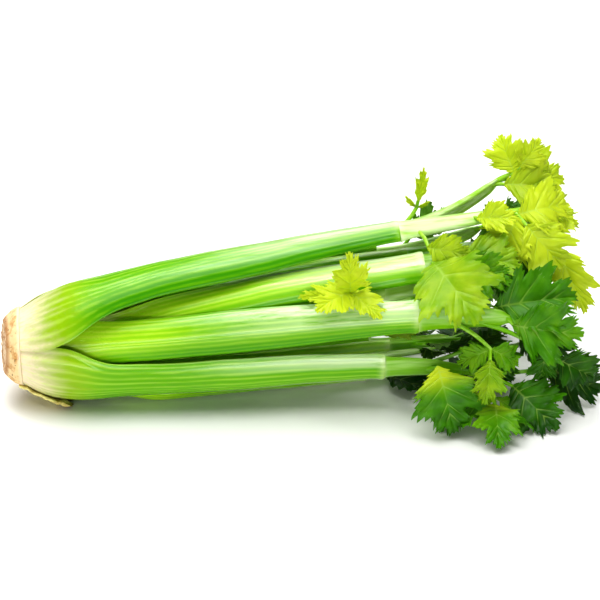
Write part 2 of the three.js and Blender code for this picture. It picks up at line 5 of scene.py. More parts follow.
import bpy
import numpy as np
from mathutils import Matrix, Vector


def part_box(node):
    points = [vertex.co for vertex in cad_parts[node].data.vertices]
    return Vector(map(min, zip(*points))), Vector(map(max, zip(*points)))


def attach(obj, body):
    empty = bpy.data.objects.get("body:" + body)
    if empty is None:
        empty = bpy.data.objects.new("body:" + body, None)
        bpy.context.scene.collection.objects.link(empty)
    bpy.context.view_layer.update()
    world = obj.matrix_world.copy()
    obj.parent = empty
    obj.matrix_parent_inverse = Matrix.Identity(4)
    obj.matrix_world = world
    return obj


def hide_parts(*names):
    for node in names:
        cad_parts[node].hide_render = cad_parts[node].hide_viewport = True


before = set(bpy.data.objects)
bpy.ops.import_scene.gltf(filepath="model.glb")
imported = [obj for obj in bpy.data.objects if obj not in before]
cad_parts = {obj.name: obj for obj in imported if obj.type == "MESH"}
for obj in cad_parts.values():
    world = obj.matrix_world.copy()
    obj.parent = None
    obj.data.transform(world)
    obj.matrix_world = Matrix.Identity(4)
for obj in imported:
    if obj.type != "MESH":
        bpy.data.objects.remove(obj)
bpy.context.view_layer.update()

bl_info = {
    "name": "Head of celery",
    "version": (1, 0, 0),
    "blender": (4, 5, 0),
    "location": "3D View > Sidebar > Celery",
    "description": "Grows a head of celery over its solids and sets up the studio around it",
    "category": "Add Mesh",
}

MM = 0.001
BODY = "root"
BUTT_END = 24.0  # mm, the X of the root plate's inner end
LOW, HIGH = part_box("butt")
ORIGIN = np.array([HIGH.x / MM - BUTT_END, (LOW.y + HIGH.y) / 2 / MM, 0.0])

# The head's own shape, in mm, from the cut face at X = 0, with the ground at Z = 0.
AXIS_HEIGHT = [(12, 38.6), (45, 38.6), (100, 42), (135, 45.5), (260, 57.5), (400, 66)]
FOOT_END = 70  # where a stalk leaves its ring's shape for its own
RINGS = {
    "outer": {
        "foot": 12.4,
        "ridge": [(12, 25.5), (24, 33), (45, 39)],
        "radius": [(12, 25.5), (24, 32.5), (45, 36), (70, 28), (100, 22.5), (150, 21), (260, 14)],
        "half_angle": [(12, 47), (48, 46), (62, 41.5), (70, 40), (100, 45), (150, 51), (260, 60)],
        "thickness": [(12, 5.5), (45, 6.8), (100, 8.5), (260, 9)],
        "edge": [(12, 2.4), (45, 2.2), (100, 3.2), (260, 4.2)],
        "tuck": [(12, 3.1), (48, 3.1), (62, 1), (70, 0)],
    },
    "middle": {
        "foot": 16.4,
        "ridge": [(16, 20), (28, 26.5), (45, 30.8)],
        "radius": [(16, 20), (28, 25.5), (45, 27), (70, 20.5), (100, 18.5), (150, 18.5), (260, 12.5)],
        "half_angle": [(16, 42), (45, 42), (70, 43), (100, 46), (150, 49), (260, 61)],
        "thickness": [(16, 5.6), (45, 6.2), (100, 8.2), (260, 8.8)],
        "edge": [(16, 4.6), (45, 2.6), (100, 3.2), (260, 4.2)],
        "tuck": [(16, 0), (20, 0)],
    },
    "inner": {
        "foot": 20.4,
        "ridge": [(20, 13), (35, 16.5), (50, 19.8)],
        "radius": [(20, 13), (35, 15), (70, 14), (120, 13), (260, 10.5)],
        "half_angle": [(20, 41), (70, 42), (120, 50), (260, 58)],
        "thickness": [(20, 4.8), (70, 5.4), (120, 6.6), (260, 7)],
        "edge": [(20, 4), (70, 2.4), (260, 3.2)],
        "tuck": [(20, 0), (24, 0)],
    },
    "heart": {
        "foot": 24.4,
        "ridge": [(24, 7), (60, 8)],
        "radius": [(24, 7), (60, 6.5), (120, 6), (220, 5)],
        "half_angle": [(24, 52), (60, 50), (120, 52), (220, 56)],
        "thickness": [(24, 4.8), (120, 4.4), (220, 4.2)],
        "edge": [(24, 3.4), (120, 2.2), (220, 2.2)],
        "tuck": [(24, 0), (30, 0)],
    },
}

# Each stalk: its ring, the way its back faces at its foot and at its joint in degrees, its ridge's
# distance from the head's middle line at X = 70, 100 and 135 and at the joint, the joint's X, its
# ribs, its width against its ring's, and how green it is.
STALKS = {
    "stalk_front_low": ("outer", -23, -27, (42, 45, 48.5, 57.5), 251, 10, 1.0, 0.85),
    "stalk_top": ("outer", 70, 93, (52, 57, 58.5, 58), 266, 10, 1.0, 0.9),
    "stalk_back": ("outer", 160, 168, (42, 43, 46, 54), 258, 9, 0.87, 0.8),
    "stalk_under_back": ("outer", -112, -119, (42, 45, 48.6, 66), 254, 9, 0.87, 0.8),
    "stalk_front_middle": ("middle", 25, 16, (36, 42.5, 47, 58), 272, 10, 1.0, 0.7),
    "stalk_top_back": ("middle", 115, 134, (36, 42, 45, 54), 262, 9, 1.0, 0.7),
    "stalk_back_low": ("middle", 205, 202, (36, 42, 45, 55), 248, 9, 1.0, 0.7),
    "stalk_under_front": ("middle", -66, -91, (36, 44.8, 47.6, 57.3), 245, 9, 1.0, 0.75),
    "stalk_inner_front": ("inner", 49, 60, (25, 35, 42, 47), 280, 8, 1.0, 0.3),
    "stalk_inner_top": ("inner", 137, 98, (23.5, 28, 31, 38), 272, 7, 1.0, 0.1),
    "stalk_inner_back": ("inner", 227, 196, (23.5, 26, 29, 34), 262, 5, 1.0, 0.3),
    "stalk_inner_low": ("inner", -43, -50, (23.5, 26, 29, 34), 258, 5, 1.0, 0.3),
    "heart_front": ("heart", 30, 30, (9, 12, 17, 34), 214, 4, 1.0, 0.05),
    "heart_back": ("heart", 150, 150, (9, 11, 13, 18), 236, 4, 1.0, 0.05),
    "heart_low": ("heart", 270, 280, (9, 11, 13, 18), 226, 4, 1.0, 0.05),
}
BELLY = {"stalk_top": 5}  # mm, how much further out a stalk's ridge lies at X = 45
GIRTH = {"stalk_inner_front": 1.3}  # a stalk's size past its foot against its ring's
NECK = {  # the X from which the foot's colours run, and from which a stalk takes on its own green
    "outer": (0, 0),
    "middle": (0, 60),
    "inner": (40, 60),
    "heart": (100, 100),
}

BUTT_PROFILE = [  # X, radius, share of the cut's lean and lumps
    (0.3, 0.4, 1),
    (0.3, 6, 1),
    (0.1, 12, 1),
    (0, 17, 1),
    (0.3, 18.4, 1),
    (2, 20.5, 1),
    (4.5, 23, 0.7),
    (7, 25, 0.4),
    (10, 26.2, 0.1),
    (12, 26.5, 0),
    (12.8, 24, 0),
    (14, 19.6, 0),
    (20, 12.8, 0),
    (24, 6.4, 0),
    (24, 0.4, 0),
]
CUT_LEAN = 0.1
CUT_TURN = -0.12
STUB = [(9, 27.9, 1.6), (16, 31.2, 2.2), (25, 36.7, 2.2), (34, 40.2, 2.4), (42, 42.4, 1.8)]
STUB_MIDDLE = -66
STUB_HALF_ANGLE = [(9, 9), (25, 16), (42, 10)]

# A leaflet's edge in the fan of its veins: where on the midrib a vein leaves it, the vein's angle to
# the midrib in degrees, and how far the edge is along the vein, in lengths of the leaflet.
LEAFLET_ROWS = [
    (0, 70, 0),
    (0.09, 68, 0.2),
    (0.17, 63, 0.46),
    (0.22, 56, 0.42),
    (0.3, 46, 0.6),
    (0.43, 38, 0.36),
    (0.56, 33, 0.42),
    (0.7, 28, 0.24),
    (1, 20, 0),
]
STEM_SECTIONS = [(0, 0.86), (0.15, 0.78), (0.55, 0.66), (0.9, 0.46), (1, 0.2)]
STEM_RADIUS = 2.0
STEM_TIP_RADIUS = 1.2
LEAFLET_STALK = 0.2
ROOT_DEPTH = 1.0
GROUND_CLEARANCE = 1.2

# Each leaf stem: its stalk, where it ends, its girth against the usual one, its seed, and its leaves. A
# leaf has the place on the leaf stem that it grows from, the hub of its leaflets, the tip of the middle
# one, the way it faces, how bright it is from 0, deep green, to 1, lime, and what differs from the usual
# leaf. The brightness is partly the leaf's own colour and partly painted shade on leaves that lie deep
# or low in the mass, and a leaf's extra light is painted light on its leaflets' base.
FRONDS = {
    "leaf_top": ("stalk_top", (343, 0, 122), 1.1, 11, [
        (0.95, (345, -4, 121), (375, -18, 86), 15, 0.9, {"side": 0.8, "bend": 45, "width": 1.1}),
        (0.95, (352, 6, 121), (390, 3, 109), 60, 0.8, {"width": 1.1}),
        (0.03, (282, -24, 110), (310, -34, 108), 15, 0.75, {"width": 0.9}),
        (0.6, (318, -5, 120), (344, -14, 122), 50, 0.95, {}),
        (0.95, (370, -8, 100), (394, -20, 52), 0, 0.95, {"width": 0.6}),
    ]),
    "leaf_front_middle": ("stalk_front_middle", (332, -55, 70), 1.1, 12, [
        (0.95, (334, -57, 67), (380, -64, 62), 10, 0.38, {"width": 1.15}),
        (0.85, (324, -45, 74), (380, -41, 77), 40, 0.34, {}),
        (0.03, (356, -61, 48), (391, -60, 26), 10, 0.2, {"side": 0.6}),
        (0.03, (317, -70, 57), (311, -82, 23), -10, 0.5, {"side": 0.7, "width": 0.9}),
        (0.95, (340, -46, 58), (370, -44, 34), 10, 0.12, {"width": 0.9}),
    ]),
    "leaf_front_low": ("stalk_front_low", (305, -53, 31), 1.0, 13, [
        (0.4, (283, -69, 45), (292, -87, 5), 15, 0.27, {"width": 1.15, "painted_light": 0.7}),
        (0.95, (322, -65, 17), (317, -108, 3), 60, 0.42, {"side": 0.9, "painted_light": 0.2}),
        (0.95, (336, -58, 21), (361, -88, 3), 25, 0.22, {"width": 1.1}),
        (0.95, (362, -42, 24), (400, -50, 8), 30, 0.12, {"width": 1.15}),
        (0.03, (311, -45, 46), (338, -52, 22), 0, 0.1, {"width": 1.1}),
    ]),
    "leaf_inner_front": ("stalk_inner_front", (302, -23, 102), 1.0, 14, [
        (0.95, (304, -24, 102), (343, -33, 96), 60, 0.55, {"width": 1.1}),
        (0.1, (284, -34, 103), (308, -80, 78), 25, 0.54, {"bend": 70, "width": 1.15}),
        (0.3, (300, -34, 100), (334, -48, 94), 30, 0.5, {"width": 0.9}),
    ]),
    "leaf_inner_top": ("stalk_inner_top", (330, 10, 94), 1.0, 16, [
        (0.95, (338, 12, 84), (382, 8, 74), 40, 0.12, {"side": 0.75, "width": 1.1}),
    ]),
    "leaf_top_back": ("stalk_top_back", (340, 38, 128), 1.25, 15, [
        (0.95, (351, 37, 133), (368, 41, 157), 10, 0.95, {"side": 0.95, "width": 1.1}),
        (0.95, (350, 41, 126), (390, 45, 124), 45, 0.8, {"width": 1.1}),
        (0.9, (344, 34, 126), (380, 30, 124), 40, 0.75, {}),
        (0.03, (285, 42, 108), (289, 43, 139), 10, 0.95, {"side": 0.35, "width": 0.4}),
    ]),
    "leaf_heart_front": ("heart_front", (228, -37, 84), 1.0, 17, [
        (0.9, (229, -37, 86), (227, -44, 120), 10, 1.0, {"width": 0.8}),
        (0.9, (229, -37, 86), (204, -58, 85), 60, 1.0, {}),
        (0.9, (229, -37, 86), (247, -60, 78), 60, 0.95, {"width": 0.8}),
        (0.1, (212, -34, 82), (194, -40, 85), 60, 0.95, {"width": 0.5}),
    ]),
    "leaf_under_front": ("stalk_under_front", (302, -12, 4), 1.0, 18, [
        (0.95, (304, -13, 4), (346, -24, 3), 90, 0.15, {"side": 0.8}),
        (0.03, (260, -10, 4), (286, -32, 3), 90, 0.2, {}),
    ]),
    "leaf_under_back": ("stalk_under_back", (312, 40, 4), 1.0, 19, [
        (0.95, (314, 41, 4), (356, 46, 4), 90, 0.2, {"side": 0.8}),
        (0.03, (272, 47, 3), (298, 74, 1), 90, 0.25, {"bend": 8}),
    ]),
}

# The leaves that grow by rule: stalk, length and lean of the leaf stem, size of the leaves, sides with
# one more leaf near the joint, size of the side leaflets, seed and brightness, which is partly painted
# shade as above.
RULED = {
    "leaf_back": ("stalk_back", 74, -14, 44, (-1,), 0.75, 21, 0.4),
    "leaf_back_low": ("stalk_back_low", 70, 4, 44, (1,), 0.75, 22, 0.35),
    "leaf_inner_back": ("stalk_inner_back", 64, 0, 38, (1,), 0.8, 25, 0.15),
    "leaf_inner_low": ("stalk_inner_low", 56, 0, 38, (1, -1), 0.9, 26, 0.05),
    "leaf_heart_back": ("heart_back", 30, 0, 30, (), 0.0, 27, 0.95),
    "leaf_heart_low": ("heart_low", 26, 0, 26, (), 0.0, 28, 0.95),
}
HEART_LEAVES = ("leaf_heart_front", "leaf_heart_back", "leaf_heart_low")


class CelerySizes(bpy.types.PropertyGroup):
    """Sizes of the head's fine forms."""

    rib_height: bpy.props.FloatProperty(
        name="Rib height",
        description="Height of a stalk's ribs over the furrows between them",
        default=0.13 * MM,
        subtype="DISTANCE",
        unit="LENGTH",
    )
    blade_thickness: bpy.props.FloatProperty(
        name="Blade thickness",
        description="Thickness of a leaflet at its midrib",
        default=0.6 * MM,
        subtype="DISTANCE",
        unit="LENGTH",
    )
    vein_depth: bpy.props.FloatProperty(
        name="Vein depth",
        description="How deep a leaflet's veins lie in its upper face",
        default=0.35 * MM,
        subtype="DISTANCE",
        unit="LENGTH",
    )
    tooth_depth: bpy.props.FloatProperty(
        name="Tooth depth",
        description="Depth of the teeth on a leaflet's edge, against its length",
        default=0.08,
        subtype="FACTOR",
    )


def colour(name, description, default):
    """A colour that a user may change."""
    return bpy.props.FloatVectorProperty(
        name=name, description=description, default=default, subtype="COLOR", size=3, min=0, max=1
    )


class CeleryColours(bpy.types.PropertyGroup):
    """Colours of the head, in linear light."""

    ivory: colour("Ivory", "Skin of a stalk's foot", (0.85, 0.72, 0.50))
    neck: colour("Neck", "Skin where the ivory turns green", (0.27, 0.43, 0.002))
    lime: colour("Lime", "Skin of the palest stalks", (0.42, 0.70, 0.02))
    green: colour("Green", "Skin of the greenest stalks", (0.15, 0.42, 0.0))
    furrow: colour("Furrow", "Tint of the furrows between ribs", (0.72, 0.9, 0.5))
    flesh: colour("Flesh", "Hollow face of a stalk", (0.50, 0.74, 0.13))
    cut: colour("Cut", "Cut face of the root plate", (0.86, 0.66, 0.42))
    browned: colour("Browned", "Dried rim and specks of the cut", (0.42, 0.17, 0.03))
    husk: colour("Husk", "Dried skin of the stub", (0.45, 0.33, 0.07))
    # The deep leaf green also serves as painted shade for leaves that lie deep in the mass.
    leaf_deep: colour("Deep leaf", "The darkest leaves", (0.002, 0.05, 0.001))
    leaf_green: colour("Leaf", "Most leaves", (0.09, 0.36, 0.001))
    leaf_bright: colour("Bright leaf", "The lightest leaves", (0.68, 0.80, 0.03))
    vein: colour("Vein", "Veins of a leaf", (0.55, 0.80, 0.15))
    floor: colour("Floor", "Ground and backdrop", (0.80, 0.80, 0.78))


# Curves and draws


def keyed(x, keys):
    """A smooth curve through keys, level past its ends: a cubic between each two, whose tangent at a
    key is the mean of the slopes to both sides, each weighed by the other side's span."""
    at, value = np.array(keys, float).T
    x = np.clip(x, at[0], at[-1])
    span = np.diff(at)
    slope = np.diff(value) / span
    inner = (slope[:-1] * span[1:] + slope[1:] * span[:-1]) / (span[1:] + span[:-1])
    tangent = np.concatenate([slope[:1], inner, slope[-1:]])
    i = np.clip(np.searchsorted(at, x, side="right") - 1, 0, len(span) - 1)
    t = (x - at[i]) / span[i]
    return (
        (1 + 2 * t) * (1 - t) ** 2 * value[i]
        + t * (1 - t) ** 2 * span[i] * tangent[i]
        + t * t * (3 - 2 * t) * value[i + 1]
        + t * t * (t - 1) * span[i] * tangent[i + 1]
    )


def smooth(t):
    """From 0 to 1 over t = 0 to 1, level at both ends: 3t² - 2t³."""
    t = np.clip(t, 0, 1)
    return t * t * (3 - 2 * t)


def unit(v):
    """Vectors at length 1."""
    return v / np.maximum(np.linalg.norm(v, axis=-1, keepdims=True), 1e-12)


def turned(v, axis, angle):
    """The vector v turned about an axis of length 1."""
    return (
        v * math.cos(angle)
        + np.cross(axis, v) * math.sin(angle)
        + axis * np.dot(axis, v) * (1 - math.cos(angle))
    )


def bowed(start, bend, end, t):
    """Points of a curve that leaves start towards bend: (1-t)² start + 2t(1-t) bend + t² end."""
    t = np.asarray(t, float)[..., None]
    return (1 - t) ** 2 * start + 2 * t * (1 - t) * bend + t**2 * end


def heading(start, bend, end, t):
    """The way that such a curve points: 2(1-t)(bend - start) + 2t(end - bend), at length 1."""
    t = np.asarray(t, float)[..., None]
    return unit(2 * (1 - t) * (bend - start) + 2 * t * (end - bend))


def ripple(x, seed, waves=4, longest=1.0):
    """A gentle uneven wave of x, about -1 to 1: a sum of sines, each shorter and lower than the last."""
    draws = np.random.default_rng(seed)
    total = np.zeros_like(x, dtype=float)
    for k in range(waves):
        total += np.sin(x * (1.7**k) * 2 * np.pi / longest + draws.uniform(0, 6.3)) / (1.5**k)
    return total / 2


class Draws:
    """Draws between two bounds, the same for the same seed, by the rule of the head's solids."""

    def __init__(self, seed):
        self.state = seed

    def __call__(self, low, high):
        self.state = (self.state * 1664525 + 1013904223) % 4294967296
        return low + (high - low) * self.state / 4294967296


# Meshes


class Shells:
    """Closed surfaces of one piece. Each goes through loops of points and has a flat end cap."""

    MARKS = ("along", "across", "relief", "tone", "under", "joint", "low", "sheen")

    def __init__(self):
        self.points, self.quads, self.caps, self.kinds = [], [], [], []
        self.marks = {mark: [] for mark in self.MARKS}
        self.count = 0

    def add(self, loops, kind=0, **marks):
        """Adds the surface through loops, an array of loop by point by X, Y and Z. The faces are turned
        so that the volume under them, a sum of corner · (corner × corner), comes out positive."""
        rows, around = loops.shape[:2]
        index = np.arange(rows * around).reshape(rows, around)
        after = np.roll(index, -1, axis=1)
        quads = np.stack([index[:-1], after[:-1], after[1:], index[1:]], -1).reshape(-1, 4)
        caps = [index[0][::-1], index[-1]]
        points = loops.reshape(-1, 3)
        centred = points - points.mean(0)
        a, b, c, d = (centred[quads[:, i]] for i in range(4))
        if (np.cross(a, b) * c + np.cross(a, c) * d).sum() < 0:
            quads = quads[:, ::-1]
            caps = [cap[::-1] for cap in caps]
        self.points.append(points)
        self.quads.append(quads + self.count)
        self.caps += [cap + self.count for cap in caps]
        self.kinds.append((len(quads), kind))
        for mark in self.MARKS:
            value = np.broadcast_to(marks.get(mark, 0.0), (rows, around))
            self.marks[mark].append(value.reshape(-1))
        self.count += len(points)

    def piece(self, name, materials, sharp=50):
        """Puts the surfaces into one mesh object that rides with the head and stands for its solid."""
        mesh = bpy.data.meshes.new(name)
        points = (np.concatenate(self.points) + ORIGIN) * MM
        quads = np.concatenate(self.quads)
        totals = np.concatenate([np.full(len(quads), 4), [len(cap) for cap in self.caps]])
        mesh.vertices.add(len(points))
        mesh.vertices.foreach_set("co", points.astype(np.float32).ravel())
        corners = np.concatenate([quads.ravel(), *self.caps]).astype(np.int32)
        mesh.loops.add(len(corners))
        mesh.loops.foreach_set("vertex_index", corners)
        mesh.polygons.add(len(totals))
        starts = np.concatenate([[0], np.cumsum(totals)[:-1]]).astype(np.int32)
        mesh.polygons.foreach_set("loop_start", starts)
        kinds = np.concatenate(
            [np.full(count, kind) for count, kind in self.kinds]
            + [np.repeat([kind for _, kind in self.kinds], 2)]
        )
        for material in materials:
            mesh.materials.append(material)
        mesh.polygons.foreach_set("material_index", kinds.astype(np.int32))
        for mark in self.MARKS:
            layer = mesh.attributes.new(mark, "FLOAT", "POINT")
            layer.data.foreach_set("value", np.concatenate(self.marks[mark]).astype(np.float32))
        mesh.update(calc_edges=True)
        mesh.validate()
        mesh.shade_smooth()
        mesh.set_sharp_from_angle(angle=math.radians(sharp))
        made = bpy.data.objects.new(name + "_piece", mesh)
        bpy.context.scene.collection.objects.link(made)
        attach(made, BODY)
        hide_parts(name)
        return made


# Stalks


def stalk_at(name, x):
    """Where a stalk is at each x: the middle of its back's curve, the ways out of and across the head,
    and the sizes of its section, all by smooth curves through the ring's and the stalk's keys."""
    ring_name, start, end, ridges, joint, _, width, _ = STALKS[name]
    ring = RINGS[ring_name]
    x = np.asarray(x, float)
    foot = [(at, out + (BELLY.get(name, 0) if at == 45 else 0)) for at, out in ring["ridge"]]
    keys = foot + list(zip((FOOT_END, 100, 135, joint), ridges))
    girth = 1 + (GIRTH.get(name, 1) - 1) * smooth((x - FOOT_END) / 40)
    angle = np.radians(keyed(x, [(FOOT_END, start), (joint, end)]))
    out = np.stack([0 * x, -np.cos(angle), np.sin(angle)], -1)
    radius = girth * keyed(x, ring["radius"])
    middle = np.stack([x, 0 * x, keyed(x, AXIS_HEIGHT)], -1)
    middle = middle + out * (keyed(x, keys) - radius)[..., None]
    return {
        "middle": middle,
        "out": out,
        "side": np.stack([0 * x, np.sin(angle), np.cos(angle)], -1),
        "radius": radius,
        "half_angle": np.radians(keyed(x, ring["half_angle"])) * np.where(x < 100, 1, width),
        "thickness": girth * keyed(x, ring["thickness"]),
        "edge": girth * keyed(x, ring["edge"]),
        "tuck": keyed(x, ring["tuck"]),
    }


def core_of(place):
    """The middle of a stalk's flesh at its ridge."""
    return place["middle"] + place["out"] * (place["radius"] - place["thickness"] / 2)[..., None]


def crescents(place, ribs, rib_height, fine=6, wander=0.0):
    """Loops across a stalk, one for each place. Over the back, u runs from -1 to 1: a point lies at the
    angle u times the half angle, and the radius plus rib height times (crest - 1/2), where crest is
    a cosine to the power 1.4 that peaks on each rib. A half circle rounds each edge. Over the hollow face the depth
    under the back is edge + (thickness - edge)(1 - u²). Returns the loops and what they are marked."""
    column = {key: np.asarray(value)[:, None] for key, value in place.items() if np.ndim(value) == 1}
    across = np.linspace(-1, 1, ribs * fine + 1)[None, :]
    warp = 0.045 * np.sin(5 * across + 1) + 0.025 * np.sin(11 * across + 2)
    phase = np.pi * ribs * (across + warp * (1 - across**2) + 1) + wander
    crest = (0.5 - 0.5 * np.cos(phase)) ** 1.4
    strength = 0.7 + 0.3 * np.sin(7 * across + 2) + 0.25 * np.sin(19 * across + 4)
    distance = column["radius"] + rib_height * strength * (crest - 0.5)
    distance = distance - column["tuck"] * smooth((across - 0.6) / 0.3)
    round_off = np.linspace(0, np.pi, 7)[1:-1][None, :]
    lip = column["radius"] - column["edge"] / 2 - column["tuck"]
    lip_out = lip + column["edge"] / 2 * np.cos(round_off)
    swing = column["edge"] / 2 * np.sin(round_off) / column["radius"] * 0.8
    low_lip = lip_out + column["tuck"]
    hollow_u = np.linspace(1, -1, 17)[None, :]
    depth = column["edge"] + (column["thickness"] - column["edge"]) * (1 - hollow_u**2)
    hollow = column["radius"] - depth - column["tuck"] * smooth((hollow_u - 0.6) / 0.3)
    half = column["half_angle"]
    angle = np.concatenate(
        [half * across, half + swing, half * hollow_u, -half - swing[:, ::-1]], axis=1
    )
    reach = np.concatenate([distance, lip_out, hollow, low_lip[:, ::-1]], axis=1)
    loops = (
        place["middle"][:, None, :]
        + place["out"][:, None, :] * (reach * np.cos(angle))[..., None]
        + place["side"][:, None, :] * (reach * np.sin(angle))[..., None]
    )
    facing_up = place["out"][:, 2:] * np.cos(angle) + place["side"][:, 2:] * np.sin(angle)
    # low is painted shade: a deeper green towards the lower edge of the back, where shade falls, fading on faces
    # that look straight down.
    painted_shade_band = smooth((-angle / half - 0.1) / 0.7) * smooth((facing_up + 0.95) / 0.5)
    rows = len(angle)
    fill = lambda value, like: np.broadcast_to(value, (rows, like))
    edge_count, hollow_count = round_off.shape[1], hollow_u.shape[1]
    marks = {
        "low": painted_shade_band,
        # sheen marks a painted highlight on faces that look up, clear of the painted shade, and a painted
        # reflection of the floor on faces that look steeply down; in the stalk skin it also sets the coat.
        "sheen": smooth((facing_up + 0.1) / 0.6) * (1 - painted_shade_band) + smooth((-facing_up - 0.6) / 0.25),
        "across": np.concatenate(
            [
                fill(across, across.shape[1]),
                fill(1.0, edge_count),
                fill(hollow_u, hollow_count),
                fill(-1.0, edge_count),
            ],
            axis=1,
        ),
        "relief": np.concatenate(
            [
                fill(crest, across.shape[1]),
                fill(0.6, edge_count),
                fill(0.3, hollow_count),
                fill(0.6, edge_count),
            ],
            axis=1,
        ),
        "under": np.concatenate(
            [
                fill(0.0, across.shape[1]),
                fill(0.4, edge_count),
                fill(1.0, hollow_count),
                fill(0.4, edge_count),
            ],
            axis=1,
        ),
    }
    return loops, marks


def on_ground(loops):
    """What would lie under the ground is flattened onto it."""
    loops[..., 2] = np.maximum(loops[..., 2], 0.0)
    return loops


def grow_stalk(name, materials, rib_height):
    """A stalk: crescents from its foot to its joint. The ribs rise over the first 60 mm, wander a
    little, the sheath's edges start thin, and the section swells by a few hundredths at the joint."""
    ring_name, _, _, _, joint, ribs, _, green = STALKS[name]
    foot = RINGS[ring_name]["foot"]
    seed = sum(map(ord, name))
    x = np.concatenate(
        [np.linspace(foot, joint - 8, 110), joint - 8 + 8 * np.array([0.25, 0.5, 0.75, 0.9, 1])]
    )
    place = stalk_at(name, x)
    swell = np.exp(-(((x - joint + 2) / 3) ** 2)) * 0.035
    place["radius"] = place["radius"] * (1 + swell)
    place["edge"] = place["edge"] * (0.35 + 0.65 * smooth((x - 35) / 50))
    place["half_angle"] = place["half_angle"] * (1.03 - 0.03 * smooth((x - 35) / 45))
    place["tuck"] = place["tuck"] * 0.5
    place["middle"] = place["middle"] + place["out"] * (0.5 * ripple(x, seed, longest=150))[:, None]
    rise = rib_height * (0.3 + 0.7 * smooth((x - foot) / 60)) * (1 - 0.7 * smooth((x - joint + 6) / 6))
    wander = 0.5 * ripple(x, seed + 1, longest=190)[:, None]
    loops, marks = crescents(place, ribs, rise[:, None], wander=wander)
    pale_from, green_from = NECK[ring_name]
    marks["along"] = ((x - pale_from) / 100)[:, None]
    marks["tone"] = (green * smooth((x - green_from) / 80))[:, None]
    marks["joint"] = np.exp(-(((x - joint + 1) / 2.5) ** 2))[:, None]
    shells = Shells()
    shells.add(on_ground(loops), **marks)
    return shells.piece(name, materials)


# Leaves


def tube(points, start_radius, end_radius, sides=10):
    """Loops of a round stem through points, thinner towards its end: point + radius (across cos a +
    up sin a), with across level and up square to both it and the stem."""
    ahead = unit(np.gradient(points, axis=0))
    across = unit(np.cross([0.0, 0.0, 1.0], ahead))
    up = np.cross(ahead, across)
    radius = np.linspace(start_radius, end_radius, len(points))[:, None, None]
    a = (2 * np.pi * np.arange(sides) / sides)[None, :, None]
    loops = points[:, None, :] + radius * (across[:, None, :] * np.cos(a) + up[:, None, :] * np.sin(a))
    loops[..., 2] = np.maximum(loops[..., 2], 0.05)
    return loops


def leaf_outline(steps, tooth_depth, seed):
    """The midrib place m, vein angle and reach of a leaflet's edge. Between the tip and the notch of a
    lobe the reach falls as 1 - (1 - cos)…, so lobes are round and notches sharp, and a saw wave of
    the row cuts the teeth. Also how near each row is to a vein, which runs to each lobe's tip."""
    rows = np.array(LEAFLET_ROWS, float)
    place = np.linspace(0, len(rows) - 1, steps)
    m = np.interp(place, np.arange(len(rows)), rows[:, 0])
    angle = np.interp(place, np.arange(len(rows)), rows[:, 1])
    i = np.clip(place.astype(int), 0, len(rows) - 2)
    t = place - i
    here, there = rows[i, 2], rows[i + 1, 2]
    rising = here + (there - here) * np.sin(np.pi / 2 * t)
    falling = there + (here - there) * np.cos(np.pi / 2 * t)
    reach = np.where(there > here, rising, falling)
    draws = np.random.default_rng(seed)
    saw = (2.0 * place + draws.uniform(0, 1)) % 1
    teeth = np.minimum(saw / 0.65, (1 - saw) / 0.35)
    reach = reach - tooth_depth * (1 - teeth) * np.minimum(1, reach / 0.2)
    reach = np.maximum(reach, 0.012)
    veins = np.array([1.0, 2.0, 4.0, 6.0, 7.0])
    near = np.exp(-((np.abs(place[:, None] - veins[None, :]).min(1) / 0.16) ** 2))
    return m, angle, reach, near


def over_ground(z):
    """A height that flattens out just over the ground: (over + 2)² / 8 within 2 mm of it."""
    over = z - GROUND_CLEARANCE
    soft = 2.0
    eased = np.clip(over + soft, 0, None) ** 2 / (4 * soft)
    return GROUND_CLEARANCE + np.where(over > soft, over, eased)


